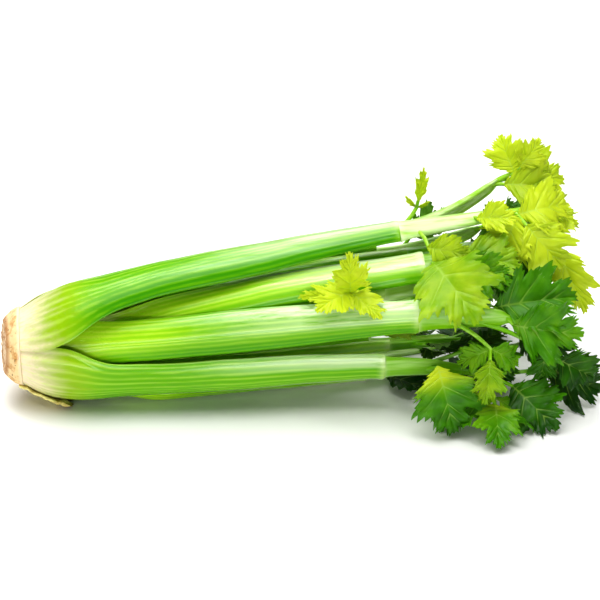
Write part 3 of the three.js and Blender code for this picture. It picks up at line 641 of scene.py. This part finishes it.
def leaflet(shells, base, ahead, face, length, width, bend, fold, wave, phase, tone, painted_light, seed, sizes):
    """One toothed leaflet, over m along its midrib and s from edge to edge. A point is the base, carried
    along an arc of bend degrees by m + reach |s| cos(angle), moved aside by width times reach s
    sin(angle), and raised by that times fold + wave sin. Between the veins the blade domes up, and
    its edges ruffle. The faces lie half a thickness to both sides, and meet at the rim."""
    half_steps = 8
    across = unit(np.cross(face, ahead))
    m, angle, edge, near = leaf_outline(81, sizes.tooth_depth, seed)
    s = np.linspace(-1, 1, 2 * half_steps + 1)[None, :]
    angle = np.radians(angle)[:, None]
    draws = np.random.default_rng(seed + 7)
    uneven = 1 + 0.14 * ripple(np.arange(len(m)) / 8.0, seed, longest=3.0)[:, None] * np.sign(s)
    reach = edge[:, None] * np.abs(s) * uneven
    along = m[:, None] + reach * np.cos(angle)
    aside = width * reach * np.sin(angle)
    arc = math.radians(bend)
    radius = length / arc
    turn = arc * along
    normal = face * np.cos(turn)[..., None] + ahead * np.sin(turn)[..., None]
    sign = np.sign(s)
    rise = length * aside * (fold + wave * np.sin(9 * along + phase * (2 + sign)))
    ruffle = draws.uniform(0.02, 0.045) * length * np.abs(s) ** 2
    rise = rise + ruffle * np.sin(34 * along + phase * (3 - sign)) * np.minimum(1, edge / 0.2)[:, None]
    belly = np.sin(np.pi * np.clip(np.abs(s), 0, 1)) ** 0.7
    dome = sizes.vein_depth / MM * 2.0 * (1 - near[:, None]) * belly * np.minimum(1, edge / 0.15)[:, None]
    points = (
        base
        + ahead * (radius * np.sin(turn))[..., None]
        + face * (radius * (np.cos(turn) - 1))[..., None]
        + across * (sign * length * aside)[..., None]
        + normal * (rise + dome)[..., None]
    )
    points[..., 2] = over_ground(points[..., 2])
    rib = np.exp(-((np.abs(s) / 0.09) ** 2)) * (1 - 0.6 * m[:, None])
    vein = np.maximum(near[:, None] * (1 - 0.5 * np.abs(s)), rib)
    thick = sizes.blade_thickness / MM * (0.35 + 0.65 * rib + 0.25 * near[:, None] * (1 - np.abs(s)))
    upper = points + normal * (thick / 2)[..., None]
    lower = points - normal * (thick / 2 + 0.5 * thick * vein * (1 - np.abs(s)))[..., None]
    loops = np.concatenate([upper, lower[:, ::-1]], axis=1)
    loops[..., 2] = np.maximum(loops[..., 2], 0.05)
    both = lambda value: np.concatenate([value, value[:, ::-1]], axis=1)
    shape = points.shape[:2]
    shells.add(
        loops,
        kind=1,
        along=both(np.broadcast_to(m[:, None], shape)),
        across=both(np.broadcast_to(s, shape)),
        relief=both(np.broadcast_to(vein, shape)),
        # Painted light: the leaflet is paler towards its base by the leaf's extra light.
        tone=both(np.broadcast_to(tone + draws.uniform(-0.08, 0.08) + painted_light * (1 - smooth(along / 0.5)), shape)),
        under=np.concatenate([np.zeros(shape), np.ones(shape)], axis=1),
        # low is painted shade: the lower a point lies, the darker its leaf.
        low=both(smooth((40 - points[..., 2]) / 60)),
    )


def add_leaf(shells, leaf, start, way, draw, seed, sizes):
    """A side stem from start that leaves along way, and at its hub one leaflet or three. The middle
    one turns through the leaf's bend about the chord from hub to tip."""
    place, hub, tip, facing, tone, extra = leaf
    hub, tip = np.array(hub, float), np.array(tip, float)
    length = float(np.linalg.norm(tip - hub))
    chord = unit(tip - hub)
    level = np.array([0.0, -math.cos(math.radians(facing)), math.sin(math.radians(facing))])
    level = unit(level - chord * np.dot(level, chord))
    across = unit(np.cross(level, chord))
    bend = extra.get("bend", 35)
    ahead = turned(chord, across, -math.radians(bend) / 2)
    face = turned(level, across, -math.radians(bend) / 2)
    bow = start + way * 0.5 * np.linalg.norm(start - hub)
    points = bowed(start, bow, hub, np.linspace(0, 1, 14))
    side = extra.get("side", 0.0)
    stalked = LEAFLET_STALK * length if side else 0.0
    if side:
        points = np.concatenate([points, hub + ahead * np.array([[0.5], [1.0]]) * stalked])
    shells.add(tube(points, STEM_RADIUS, STEM_TIP_RADIUS), tone=tone, relief=0.5)
    for turn in (0, 1, -1) if side else (0,):
        size = side * length * draw(0.9, 1.1) if turn else length
        angle = -turn * math.radians(draw(60, 76))
        droop = abs(turn) * draw(-0.1, 0.3)
        heading = turned(ahead, face, angle)
        lateral = unit(np.cross(face, heading))
        leaflet(
            shells,
            base=hub + ahead * (0 if turn else stalked - ROOT_DEPTH),
            ahead=turned(heading, lateral, droop),
            face=turned(face, lateral, droop),
            length=size if turn else length - stalked + ROOT_DEPTH,
            width=extra.get("width", 1.0) * draw(0.95, 1.1),
            bend=bend * draw(0.8, 1.2) + 1,
            fold=draw(0.05, 0.2) * 1.8,
            wave=draw(0.08, 0.16) * 1.3,
            phase=draw(0, 6),
            tone=tone,
            painted_light=extra.get("painted_light", 0.0),
            seed=seed * 100 + turn + 2,
            sizes=sizes,
        )
        seed += 1


def run_of(name):
    """A stalk's place at its joint and the way that it points there, from the 20 mm before it."""
    joint_x = STALKS[name][4]
    place = stalk_at(name, np.array([joint_x - 20.0, float(joint_x)]))
    core = core_of(place)
    joint = {key: value[1] for key, value in place.items()}
    return joint, core[1], unit(core[1] - core[0])


def ruled_leaves(rule):
    """The leaves of a stalk that has them by rule: one to each named side near the joint, 24 mm ahead
    and 13 mm aside, and one of three leaflets at the end of the leaf stem."""
    name, length, lean, size, near, side, seed, tone = rule
    facing = STALKS[name][2]
    draw = Draws(seed)
    joint, core, run = run_of(name)
    end = core + run * length + joint["side"] * lean

    def grown(place, start, ahead, aside, turn, reach, besides):
        hub = start + run * ahead + joint["side"] * aside + joint["out"] * draw(0, 4)
        turn = math.radians(turn)
        tip = hub + run * reach * math.cos(turn) + joint["side"] * reach * math.sin(turn)
        return (place, hub, tip, facing, tone, {"side": besides})

    leaves = []
    for sign in near:
        turn = sign * draw(25, 35)
        leaves.append(grown(0.1, core, 24, sign * 13, turn, draw(0.75, 0.9) * size, 0))
    leaves.append(grown(0.95, end, 4, 0, draw(-8, 8), size, side))
    return (name, end, 1.0, seed, leaves)


def grow_frond(name, frond, materials, sizes):
    """A leaf stem past a stalk's joint and its leaves. The stem is made of crescents like the joint's,
    smaller towards its end, on a curve that leaves the joint the way the stalk points."""
    stalk, end, girth, seed, leaves = frond
    joint, core, run = run_of(stalk)
    end = np.array(end, float)
    start = core - run
    bow = start + run * 0.5 * np.linalg.norm(start - end)
    t = np.concatenate([[0, 0.012, 0.03, 0.06], np.linspace(0.1, 1, 34)])
    points = bowed(start, bow, end, t)
    along = heading(start, bow, end, t)
    out = unit(joint["out"] - along * (along @ joint["out"])[:, None])
    scale = girth * np.interp(t, *np.array(STEM_SECTIONS).T) + 0.1 * np.exp(-((t / 0.03) ** 2))
    place = {
        "out": out,
        "side": -np.cross(out, along),
        "radius": scale * joint["radius"],
        "half_angle": np.full(len(t), joint["half_angle"]),
        "thickness": scale * joint["thickness"],
        "edge": scale * joint["edge"],
        "tuck": 0 * t,
    }
    place["middle"] = points + out * (place["thickness"] / 2 - place["radius"])[:, None]
    rib_height = sizes.rib_height / MM * 0.7 * np.minimum(scale, 1)[:, None]
    loops, marks = crescents(place, 6, rib_height, fine=6)
    marks["along"] = (2.6 + 0.8 * t)[:, None]
    marks["joint"] = np.exp(-((t / 0.04) ** 2))[:, None]
    marks["tone"] = leaves[0][4]
    shells = Shells()
    shells.add(on_ground(loops), **marks)
    draw = Draws(seed)
    for k, leaf in enumerate(leaves):
        at = leaf[0]
        origin = bowed(start, bow, end, at)
        way = heading(start, bow, end, at)
        add_leaf(shells, leaf, origin, way, draw, seed * 10 + k * 3, sizes)
    return shells.piece(name, materials)


# Root plate and stub


def root_plate(materials):
    """The root plate: rings round the head's middle line, each with a radius, and the lean and lumps
    that its share gives it: x + lean (0.1 z - 0.12 y), radius (1 + 0.06 lean sin(3a + 1) cos(5a))."""
    x, radius, lean = (np.array(column, float) for column in zip(*BUTT_PROFILE))
    fine = np.linspace(0, len(x) - 1, 90)
    at = np.arange(len(x))
    x, radius, lean = (np.interp(fine, at, column)[:, None] for column in (x, radius, lean))
    a = np.linspace(0, 2 * np.pi, 120, endpoint=False)[None, :]
    lump = 1 + 0.06 * lean * np.sin(3 * a + 1) * np.cos(5 * a)
    lump = lump + 0.012 * np.sin(23 * a + 2 * np.sin(3 * a)) * smooth((radius - 14) / 6)
    y, z = radius * lump * np.cos(a), radius * lump * np.sin(a)
    pits = np.sin(0.9 * y + 1.4 * np.sin(0.47 * z)) * np.sin(1.1 * z + 1.7 * np.sin(0.38 * y))
    pits = 0.35 * lean * pits * (radius < 18)
    height = keyed(np.array(0.0), AXIS_HEIGHT)
    loops = np.stack([x + lean * (z * CUT_LEAN + y * CUT_TURN) + pits, y, z + height], -1)
    shells = Shells()
    shells.add(loops, along=x / 24, across=radius / 26.5, relief=0.5)
    return shells.piece("butt", materials)


def dried_stub(materials):
    """The stub of a trimmed stalk: crescents about the head's middle line, crinkled and torn at the
    far end, where a sine of the angle takes the edge back."""
    stub_x, stub_radius, stub_thickness = (np.array(column, float) for column in zip(*STUB))
    tear = lambda across: 3.0 * np.sin(9 * across) + 2.0 * np.sin(23 * across + 1)
    x = np.linspace(9, 42, 48)
    angle = math.radians(STUB_MIDDLE)
    ones = np.ones_like(x)
    thickness = (np.interp(x, stub_x, stub_thickness) + 1) * (1 - 0.6 * smooth((x - 36) / 6))
    place = {
        "middle": np.stack([x, 0 * x, keyed(x, AXIS_HEIGHT)], -1),
        "out": np.array([0.0, -math.cos(angle), math.sin(angle)]) * ones[:, None],
        "side": np.array([0.0, math.sin(angle), math.cos(angle)]) * ones[:, None],
        "radius": np.interp(x, stub_x, stub_radius) + 0.6 * ripple(x, 5, longest=13),
        "half_angle": np.radians(keyed(x, STUB_HALF_ANGLE)) * (1 + 0.15 * ripple(x, 6, longest=15)),
        "thickness": thickness,
        "edge": thickness / 2,
        "tuck": 0 * x,
    }
    loops, marks = crescents(place, 7, 0.5)
    loops[..., 0] -= tear(marks["across"]) * smooth((x - 32) / 10)[:, None] * 0.6
    marks["along"] = ((x - 9) / 33)[:, None]
    shells = Shells()
    shells.add(on_ground(loops), **marks)
    return shells.piece("stub", materials)


# Finishes


class Value:
    """A socket of a finish's nodes. Operators on numbers add Math nodes."""

    def __init__(self, finish, socket):
        self.finish, self.socket = finish, socket

    def math(self, operation, first, second):
        return self.finish.node("ShaderNodeMath", {"operation": operation}, {0: first, 1: second})

    def __add__(self, other):
        return self.math("ADD", self, other)

    __radd__ = __add__

    def __sub__(self, other):
        return self.math("SUBTRACT", self, other)

    def __rsub__(self, other):
        return self.math("SUBTRACT", other, self)

    def __mul__(self, other):
        return self.math("MULTIPLY", self, other)

    __rmul__ = __mul__

    def __pow__(self, other):
        return self.math("POWER", self, other)


class Finish:
    """A material in the making, with one method that adds a node and a few that use it."""

    def __init__(self, name):
        self.material = bpy.data.materials.new(name)
        self.material.use_nodes = True
        self.tree = self.material.node_tree
        self.tree.nodes.clear()
        self.output = self.tree.nodes.new("ShaderNodeOutputMaterial")

    def node(self, kind, settings=None, inputs=None, output=0):
        """Adds a node: its settings first, then the values or links of its sockets."""
        made = self.tree.nodes.new(kind)
        for key, value in (settings or {}).items():
            setattr(made, key, value)
        for key, value in (inputs or {}).items():
            if isinstance(value, Value):
                self.tree.links.new(value.socket, made.inputs[key])
            else:
                made.inputs[key].default_value = value
        return Value(self, made.outputs[output])

    def mark(self, name):
        """What the mesh's points say under this name."""
        return self.node("ShaderNodeAttribute", {"attribute_name": name}, output=2)

    def mix(self, share, first, second, blend="MIX"):
        """A colour between two."""
        paint = lambda c: c if isinstance(c, Value) else (*c, 1.0)
        return self.node(
            "ShaderNodeMix",
            {"data_type": "RGBA", "blend_type": blend},
            {0: share, 6: paint(first), 7: paint(second)},
            output=2,
        )

    def place(self, stretch=(1, 1, 1)):
        """The point's place on the object, stretched."""
        spot = self.node("ShaderNodeTexCoord", output=3)
        return self.node("ShaderNodeMapping", {}, {0: spot, 3: stretch})

    def grain(self, scale, stretch=(1, 1, 1), detail=3.0, roughness=0.55):
        """An uneven pattern between 0 and 1, of a scale in patches a metre."""
        return self.node(
            "ShaderNodeTexNoise",
            {"noise_dimensions": "3D"},
            {"Vector": self.place(stretch), "Scale": scale, "Detail": detail, "Roughness": roughness},
        )

    def ease(self, value, low, high):
        """From 0 to 1 as value passes from low to high."""
        return self.node(
            "ShaderNodeMapRange",
            {"interpolation_type": "SMOOTHSTEP"},
            {"Value": value, "From Min": low, "From Max": high},
        )

    def skin(self, base, roughness, height=None, bump=0.0, normal_distance=0.001, **uniform):
        """The shader: what changes over the surface is linked, and uniform values are set on it."""
        inputs = {"Base Color": base, "Roughness": roughness, **uniform}
        if height is not None:
            inputs["Normal"] = self.node(
                "ShaderNodeBump",
                {},
                {"Strength": bump, "Distance": normal_distance, "Height": height},
            )
        return self.node("ShaderNodeBsdfPrincipled", {}, inputs)

    def finished(self, shader):
        self.tree.links.new(shader.socket, self.output.inputs[0])
        return self.material


def stalk_finish(name, colours):
    """Stalk skin: ivory foot, a lime neck, then the stalk's own green, in lengthwise streaks; furrows
    deeper than ribs; the hollow face and the joint pale. A painted highlight pales the faces that
    look up or steeply down and a stripe near the upper edge, and painted shade deepens the lower edge."""
    f = Finish(name)
    along, across, relief, tone, under, joint, low, sheen = (
        f.mark(m) for m in ("along", "across", "relief", "tone", "under", "joint", "low", "sheen")
    )
    streak = f.grain(60, (0.12, 3.2, 3.2), detail=4) * 0.6 + f.grain(190, (0.03, 3.2, 3.2)) * 0.4
    broad = f.grain(30, (0.25, 1.6, 1.6), detail=2)
    reach = along + (streak - 0.5) * 0.2 + (broad - 0.5) * 0.25 + (relief - 0.5) * -0.06
    own = f.mix(f.ease(tone + (broad - 0.5) * 0.5, 0.0, 1.0), colours.lime, colours.green)
    base = f.mix(f.ease(reach, 0.12, 0.46), colours.ivory, colours.neck)
    base = f.mix(f.ease(reach, 0.30, 0.70), base, own)
    furrow = f.mix(1.0, base, colours.furrow, "MULTIPLY")
    base = f.mix(f.ease(relief + (streak - 0.5) * 0.8, 0.6, 0.0) * f.ease(along, 0.3, 0.8), base, furrow)
    base = f.mix(f.ease(streak + relief * 0.3, 0.62, 0.85) * 0.3, base, (0.50, 0.75, 0.08))
    base = f.mix(under * 0.7, base, colours.flesh)
    base = f.mix(joint * 0.5, base, (0.62, 0.78, 0.3))
    # Painted highlight: a pale stripe near the upper edge of the back and a pale wash where sheen marks it,
    # stronger towards the joint.
    painted_highlight_stripe = f.ease(across, 0.35, 0.55) * f.ease(across, 0.95, 0.75) * (1 - under)
    painted_highlight = (sheen * 0.38 + painted_highlight_stripe * 0.22) * f.ease(along, 1.0, 2.3) * f.ease(streak + along * 0.05, 0.4, 0.62)
    base = f.mix(painted_highlight, base, (0.84, 0.91, 0.68))
    # Painted shade: the lower edge of the back, marked low, is multiplied to a deeper green.
    deeper = f.mix(1.0, base, (0.40, 0.66, 0.05), "MULTIPLY")
    base = f.mix(low * f.ease(along, 0.3, 0.8), base, deeper)
    beads = f.ease(f.grain(430, detail=0), 0.56, 0.68) * f.ease(broad, 0.45, 0.6) * sheen
    height = streak * 0.5 + f.grain(900, (0.35, 1, 1), detail=2) * 0.2 + beads * 0.7
    return f.finished(
        f.skin(
            base,
            0.16 + f.grain(220, (0.3, 1, 1)) * 0.14,
            height,
            0.3,
            0.0005,
            **{
                "Specular IOR Level": 0.22,
                "Subsurface Weight": 0.08,
                "Subsurface Radius": (0.002, 0.004, 0.0005),
                "Subsurface Scale": 1.0,
                "Coat Roughness": 0.17,
                "Coat Weight": 0.06 + sheen * (0.12 + f.ease(along, 0.9, 1.8) * 0.43),
            },
        )
    )


def leaf_finish(name, colours):
    """Leaf blade: deep, middle or bright green by the leaf's tone and in patches, paler along its veins
    and underneath, satin above. The tone is partly painted shade, and painted shade darkens the leaves
    that lie low."""
    f = Finish(name)
    relief, tone, under, low = (f.mark(m) for m in ("relief", "tone", "under", "low"))
    patch = f.grain(70, detail=3)
    fine = f.grain(600, detail=3)
    # low darkens the leaves that lie low in the mass: painted shade.
    share = tone + (patch - 0.5) * 0.45 - low * 0.2
    base = f.mix(f.ease(share, 0.0, 0.5), colours.leaf_deep, colours.leaf_green)
    base = f.mix(f.ease(share, 0.3, 1.0), base, colours.leaf_bright)
    base = f.mix((fine - 0.5) * 0.4, base, (0.9, 0.95, 0.5), "SOFT_LIGHT")
    vein = f.mix(0.6, base, colours.vein)
    base = f.mix(f.ease(relief, 0.5, 0.95) * 0.7, base, vein)
    base = f.mix(under * 0.35, base, (0.40, 0.62, 0.20))
    height = relief * -0.6 + fine * 0.3
    shader = f.skin(
        base,
        0.28 + patch * 0.2 + under * 0.2,
        height,
        0.4,
        0.0006,
        **{"Specular IOR Level": 0.3},
    )
    glow = f.node("ShaderNodeBsdfTranslucent", {}, {"Color": f.mix(0.35, base, colours.leaf_bright)})
    both = f.node("ShaderNodeMixShader", {}, {0: 0.38, 1: shader, 2: glow})
    return f.finished(both)


def stem_finish(name, colours):
    """Leaf stems: stalk green that turns to the leaf's green, pale on its ribs and at the joint, with a
    painted highlight over the faces that look up or steeply down.
    """
    f = Finish(name)
    relief, tone, under, joint, sheen = (
        f.mark(m) for m in ("relief", "tone", "under", "joint", "sheen")
    )
    streak = f.grain(90, (0.2, 2.5, 2.5), detail=3)
    base = f.mix(f.ease(tone, 0.0, 0.9) * 0.6, colours.green, colours.lime)
    base = f.mix(f.ease(relief + (streak - 0.5) * 0.6, 0.7, 0.1) * 0.5, base, colours.green)
    base = f.mix(f.ease(streak, 0.5, 0.7) * 0.3, base, (0.60, 0.84, 0.28))
    base = f.mix(under * 0.5, base, colours.flesh)
    base = f.mix(joint * 0.6, base, (0.66, 0.82, 0.35))
    # Painted highlight: a pale wash over the faces that sheen marks.
    base = f.mix(sheen * f.ease(streak, 0.3, 0.65) * 0.4, base, (0.84, 0.91, 0.68))
    return f.finished(
        f.skin(
            base,
            0.26 + streak * 0.15,
            streak,
            0.25,
            0.0005,
            **{
                "Specular IOR Level": 0.35,
                "Subsurface Weight": 0.08,
                "Subsurface Radius": (0.002, 0.004, 0.0005),
                "Subsurface Scale": 1.0,
                "Coat Weight": 0.15,
                "Coat Roughness": 0.15,
            },
        )
    )


def root_finish(name, colours):
    """Cut root plate: cream flesh with a browned rim, brown specks and fine pores."""
    f = Finish(name)
    along, across = f.mark("along"), f.mark("across")
    cloud = f.grain(160, detail=5, roughness=0.65)
    speck = f.grain(420, detail=2)
    face = f.ease(along, 0.12, 0.03)
    flesh = f.mix(f.ease(cloud, 0.4, 0.65), colours.cut, colours.browned)
    bevel = f.mix(f.ease(cloud, 0.50, 0.66), (0.88, 0.64, 0.32), (0.62, 0.34, 0.11))
    base = f.mix(face, bevel, flesh)
    base = f.mix(f.ease(across, 0.6, 0.68) * face * 0.7, base, colours.browned)
    base = f.mix(f.ease(speck, 0.60, 0.72) * 0.7, base, (0.20, 0.09, 0.02))
    base = f.mix(f.ease(along, 0.36, 0.52), base, colours.ivory)
    return f.finished(
        f.skin(
            base,
            0.55 + cloud * 0.25,
            cloud + speck * 0.5,
            0.7,
            0.001,
            **{"Subsurface Weight": 0.1, "Subsurface Radius": (0.004, 0.003, 0.0015)},
        )
    )


def husk_finish(name, colours):
    """Dried stub: yellow-brown skin, browner at its torn end, with lengthwise fibres."""
    f = Finish(name)
    along, relief = f.mark("along"), f.mark("relief")
    fibre = f.grain(140, (0.2, 2, 2), detail=4)
    base = f.mix(f.ease(fibre, 0.35, 0.75), (0.95, 0.90, 0.35), colours.husk)
    base = f.mix(f.ease(along + (fibre - 0.5) * 0.8, 0.8, 1.1) * 0.6, base, (0.42, 0.30, 0.06))
    base = f.mix(f.ease(relief, 0.5, 0.0) * 0.2, base, (0.50, 0.42, 0.10))
    return f.finished(f.skin(base, 0.6 + fibre * 0.2, fibre, 0.6, 0.0008))


def floor_finish(name, colours):
    """Matt pale ground."""
    f = Finish(name)
    return f.finished(f.skin((*colours.floor, 1.0), 0.6, **{"Specular IOR Level": 0.2}))


def finish(name, make):
    """A finish by name, made the first time that it is asked for."""
    known = bpy.data.materials.get(name)
    return known or make(name, bpy.context.scene.celery_colours)


# Operators


class CELERY_OT_root_plate(bpy.types.Operator):
    """Makes the root plate that the stalks stand on, with its browned cut face"""

    bl_idname = "celery.root_plate"
    bl_label = "Root plate"

    def execute(self, context):
        root_plate([finish("cut_flesh", root_finish)])
        return {"FINISHED"}


class CELERY_OT_stub(bpy.types.Operator):
    """Makes the dried stub of a trimmed stalk"""

    bl_idname = "celery.stub"
    bl_label = "Dried stub"

    def execute(self, context):
        dried_stub([finish("dried_husk", husk_finish)])
        return {"FINISHED"}


class CELERY_OT_stalks(bpy.types.Operator):
    """Grows the ribbed stalks of the three rings and of the heart"""

    bl_idname = "celery.stalks"
    bl_label = "Stalks"

    def execute(self, context):
        rib_height = context.scene.celery_sizes.rib_height / MM
        skin = finish("stalk_skin", stalk_finish)
        for name, stalk in STALKS.items():
            grow_stalk(name, [skin], rib_height)
        return {"FINISHED"}


class CELERY_OT_leaves(bpy.types.Operator):
    """Grows the leaf stems, side stems and toothed leaflets past the stalks' joints"""

    bl_idname = "celery.leaves"
    bl_label = "Leaves"

    def execute(self, context):
        sizes = context.scene.celery_sizes
        materials = [finish("leaf_stem", stem_finish), finish("leaf_blade", leaf_finish)]
        fronds = {**FRONDS, **{name: ruled_leaves(rule) for name, rule in RULED.items()}}
        for name, frond in fronds.items():
            slot = "heart_leaf" if name in HEART_LEAVES else "leaf"
            grow_frond(name, frond, materials, sizes)
        return {"FINISHED"}


class CELERY_OT_stage(bpy.types.Operator):
    """Lays the pale ground and sets up the soft light and the camera"""

    bl_idname = "celery.stage"
    bl_label = "Studio"

    def execute(self, context):
        scene = context.scene
        mesh = bpy.data.meshes.new("ground")
        reach = 6.0
        corners = [(-reach, -reach, 0), (reach, -reach, 0), (reach, reach, 0), (-reach, reach, 0)]
        mesh.from_pydata(corners, [], [(0, 1, 2, 3)])
        mesh.materials.append(finish("ground", floor_finish))
        ground = bpy.data.objects.new("ground", mesh)
        scene.collection.objects.link(ground)
        world = bpy.data.worlds.new("studio")
        world.use_nodes = True
        backdrop = world.node_tree.nodes["Background"]
        backdrop.inputs["Color"].default_value = (1.0, 1.0, 1.0, 1.0)
        backdrop.inputs["Strength"].default_value = 0.15
        scene.world = world
        scene.view_settings.view_transform = "Standard"
        scene.view_settings.look = "Medium High Contrast"
        for name, spot, aim, size, power in LIGHTS:
            light = bpy.data.lights.new(name, "AREA" if size else "SUN")
            light.energy = power
            if size:
                light.shape = "RECTANGLE"
                light.size, light.size_y = size
            else:
                light.angle = math.radians(SUN_ANGLE)
            lamp = bpy.data.objects.new(name, light)
            lamp.location = spot
            lamp.rotation_mode = "QUATERNION"
            lamp.rotation_quaternion = (Vector(aim) - Vector(spot)).to_track_quat("-Z", "Y")
            scene.collection.objects.link(lamp)
        azimuth, elevation = math.radians(CAMERA_AZIMUTH), math.radians(CAMERA_ELEVATION)
        back = Vector(
            (
                math.sin(azimuth) * math.cos(elevation),
                -math.cos(azimuth) * math.cos(elevation),
                math.sin(elevation),
            )
        )
        lens = bpy.data.cameras.new("camera")
        lens.lens = CAMERA_LENS
        lens.sensor_width = 36.0
        lens.clip_start, lens.clip_end = 0.01, 50.0
        camera = bpy.data.objects.new("camera", lens)
        camera.location = Vector((CAMERA_TARGET + ORIGIN) * MM) + back * CAMERA_DISTANCE
        camera.rotation_mode = "QUATERNION"
        camera.rotation_quaternion = (-back).to_track_quat("-Z", "Y")
        scene.collection.objects.link(camera)
        scene.camera = camera
        return {"FINISHED"}


CAMERA_TARGET = np.array([200.0, 0.0, 62.7])  # mm, on the head's own axes
CAMERA_AZIMUTH = -6.0
CAMERA_ELEVATION = 28.0
CAMERA_LENS = 110.0
CAMERA_DISTANCE = 1.2375  # m
LIGHTS = [  # name, place, aim, size, and power in W, or in W/m2 of a sun, which has no size
    ("top_strip", (-0.05, -0.05, 1.1), (0.0, 0.0, 0.05), (1.8, 0.16), 7.0),
    ("rear_strip", (0.1, 0.55, 1.0), (0.0, 0.0, 0.05), (1.8, 0.16), 4.5),
    ("back_panel", (0.7, 2.2, 1.8), (0.05, 0.0, 0.06), (1.8, 1.0), 20.0),
    ("front_strip", (-0.6, -2.5, 0.4), (0.0, 0.0, 0.05), (2.6, 0.3), 26.0),
    ("sky", (-0.2, -0.05, 1.0), (0.0, 0.0, 0.0), None, 1.8),
]
SUN_ANGLE = 50.0


class CELERY_PT_panel(bpy.types.Panel):
    """Lists what the head of celery is made of"""

    bl_idname = "CELERY_PT_panel"
    bl_label = "Head of celery"
    bl_space_type = "VIEW_3D"
    bl_region_type = "UI"
    bl_category = "Celery"

    def draw(self, context):
        for step in STEPS:
            self.layout.operator(step.bl_idname)
        for group in (context.scene.celery_sizes, context.scene.celery_colours):
            for name in group.__annotations__:
                self.layout.prop(group, name)


STEPS = (
    CELERY_OT_root_plate,
    CELERY_OT_stub,
    CELERY_OT_stalks,
    CELERY_OT_leaves,
    CELERY_OT_stage,
)
CLASSES = (CelerySizes, CeleryColours, *STEPS, CELERY_PT_panel)


def register():
    for item in CLASSES:
        bpy.utils.register_class(item)
    bpy.types.Scene.celery_sizes = bpy.props.PointerProperty(type=CelerySizes)
    bpy.types.Scene.celery_colours = bpy.props.PointerProperty(type=CeleryColours)


def unregister():
    del bpy.types.Scene.celery_colours
    del bpy.types.Scene.celery_sizes
    for item in reversed(CLASSES):
        bpy.utils.unregister_class(item)


def main():
    register()
    bpy.ops.celery.root_plate()
    bpy.ops.celery.stub()
    bpy.ops.celery.stalks()
    bpy.ops.celery.leaves()
    bpy.ops.celery.stage()


if __name__ == "__main__":
    main()
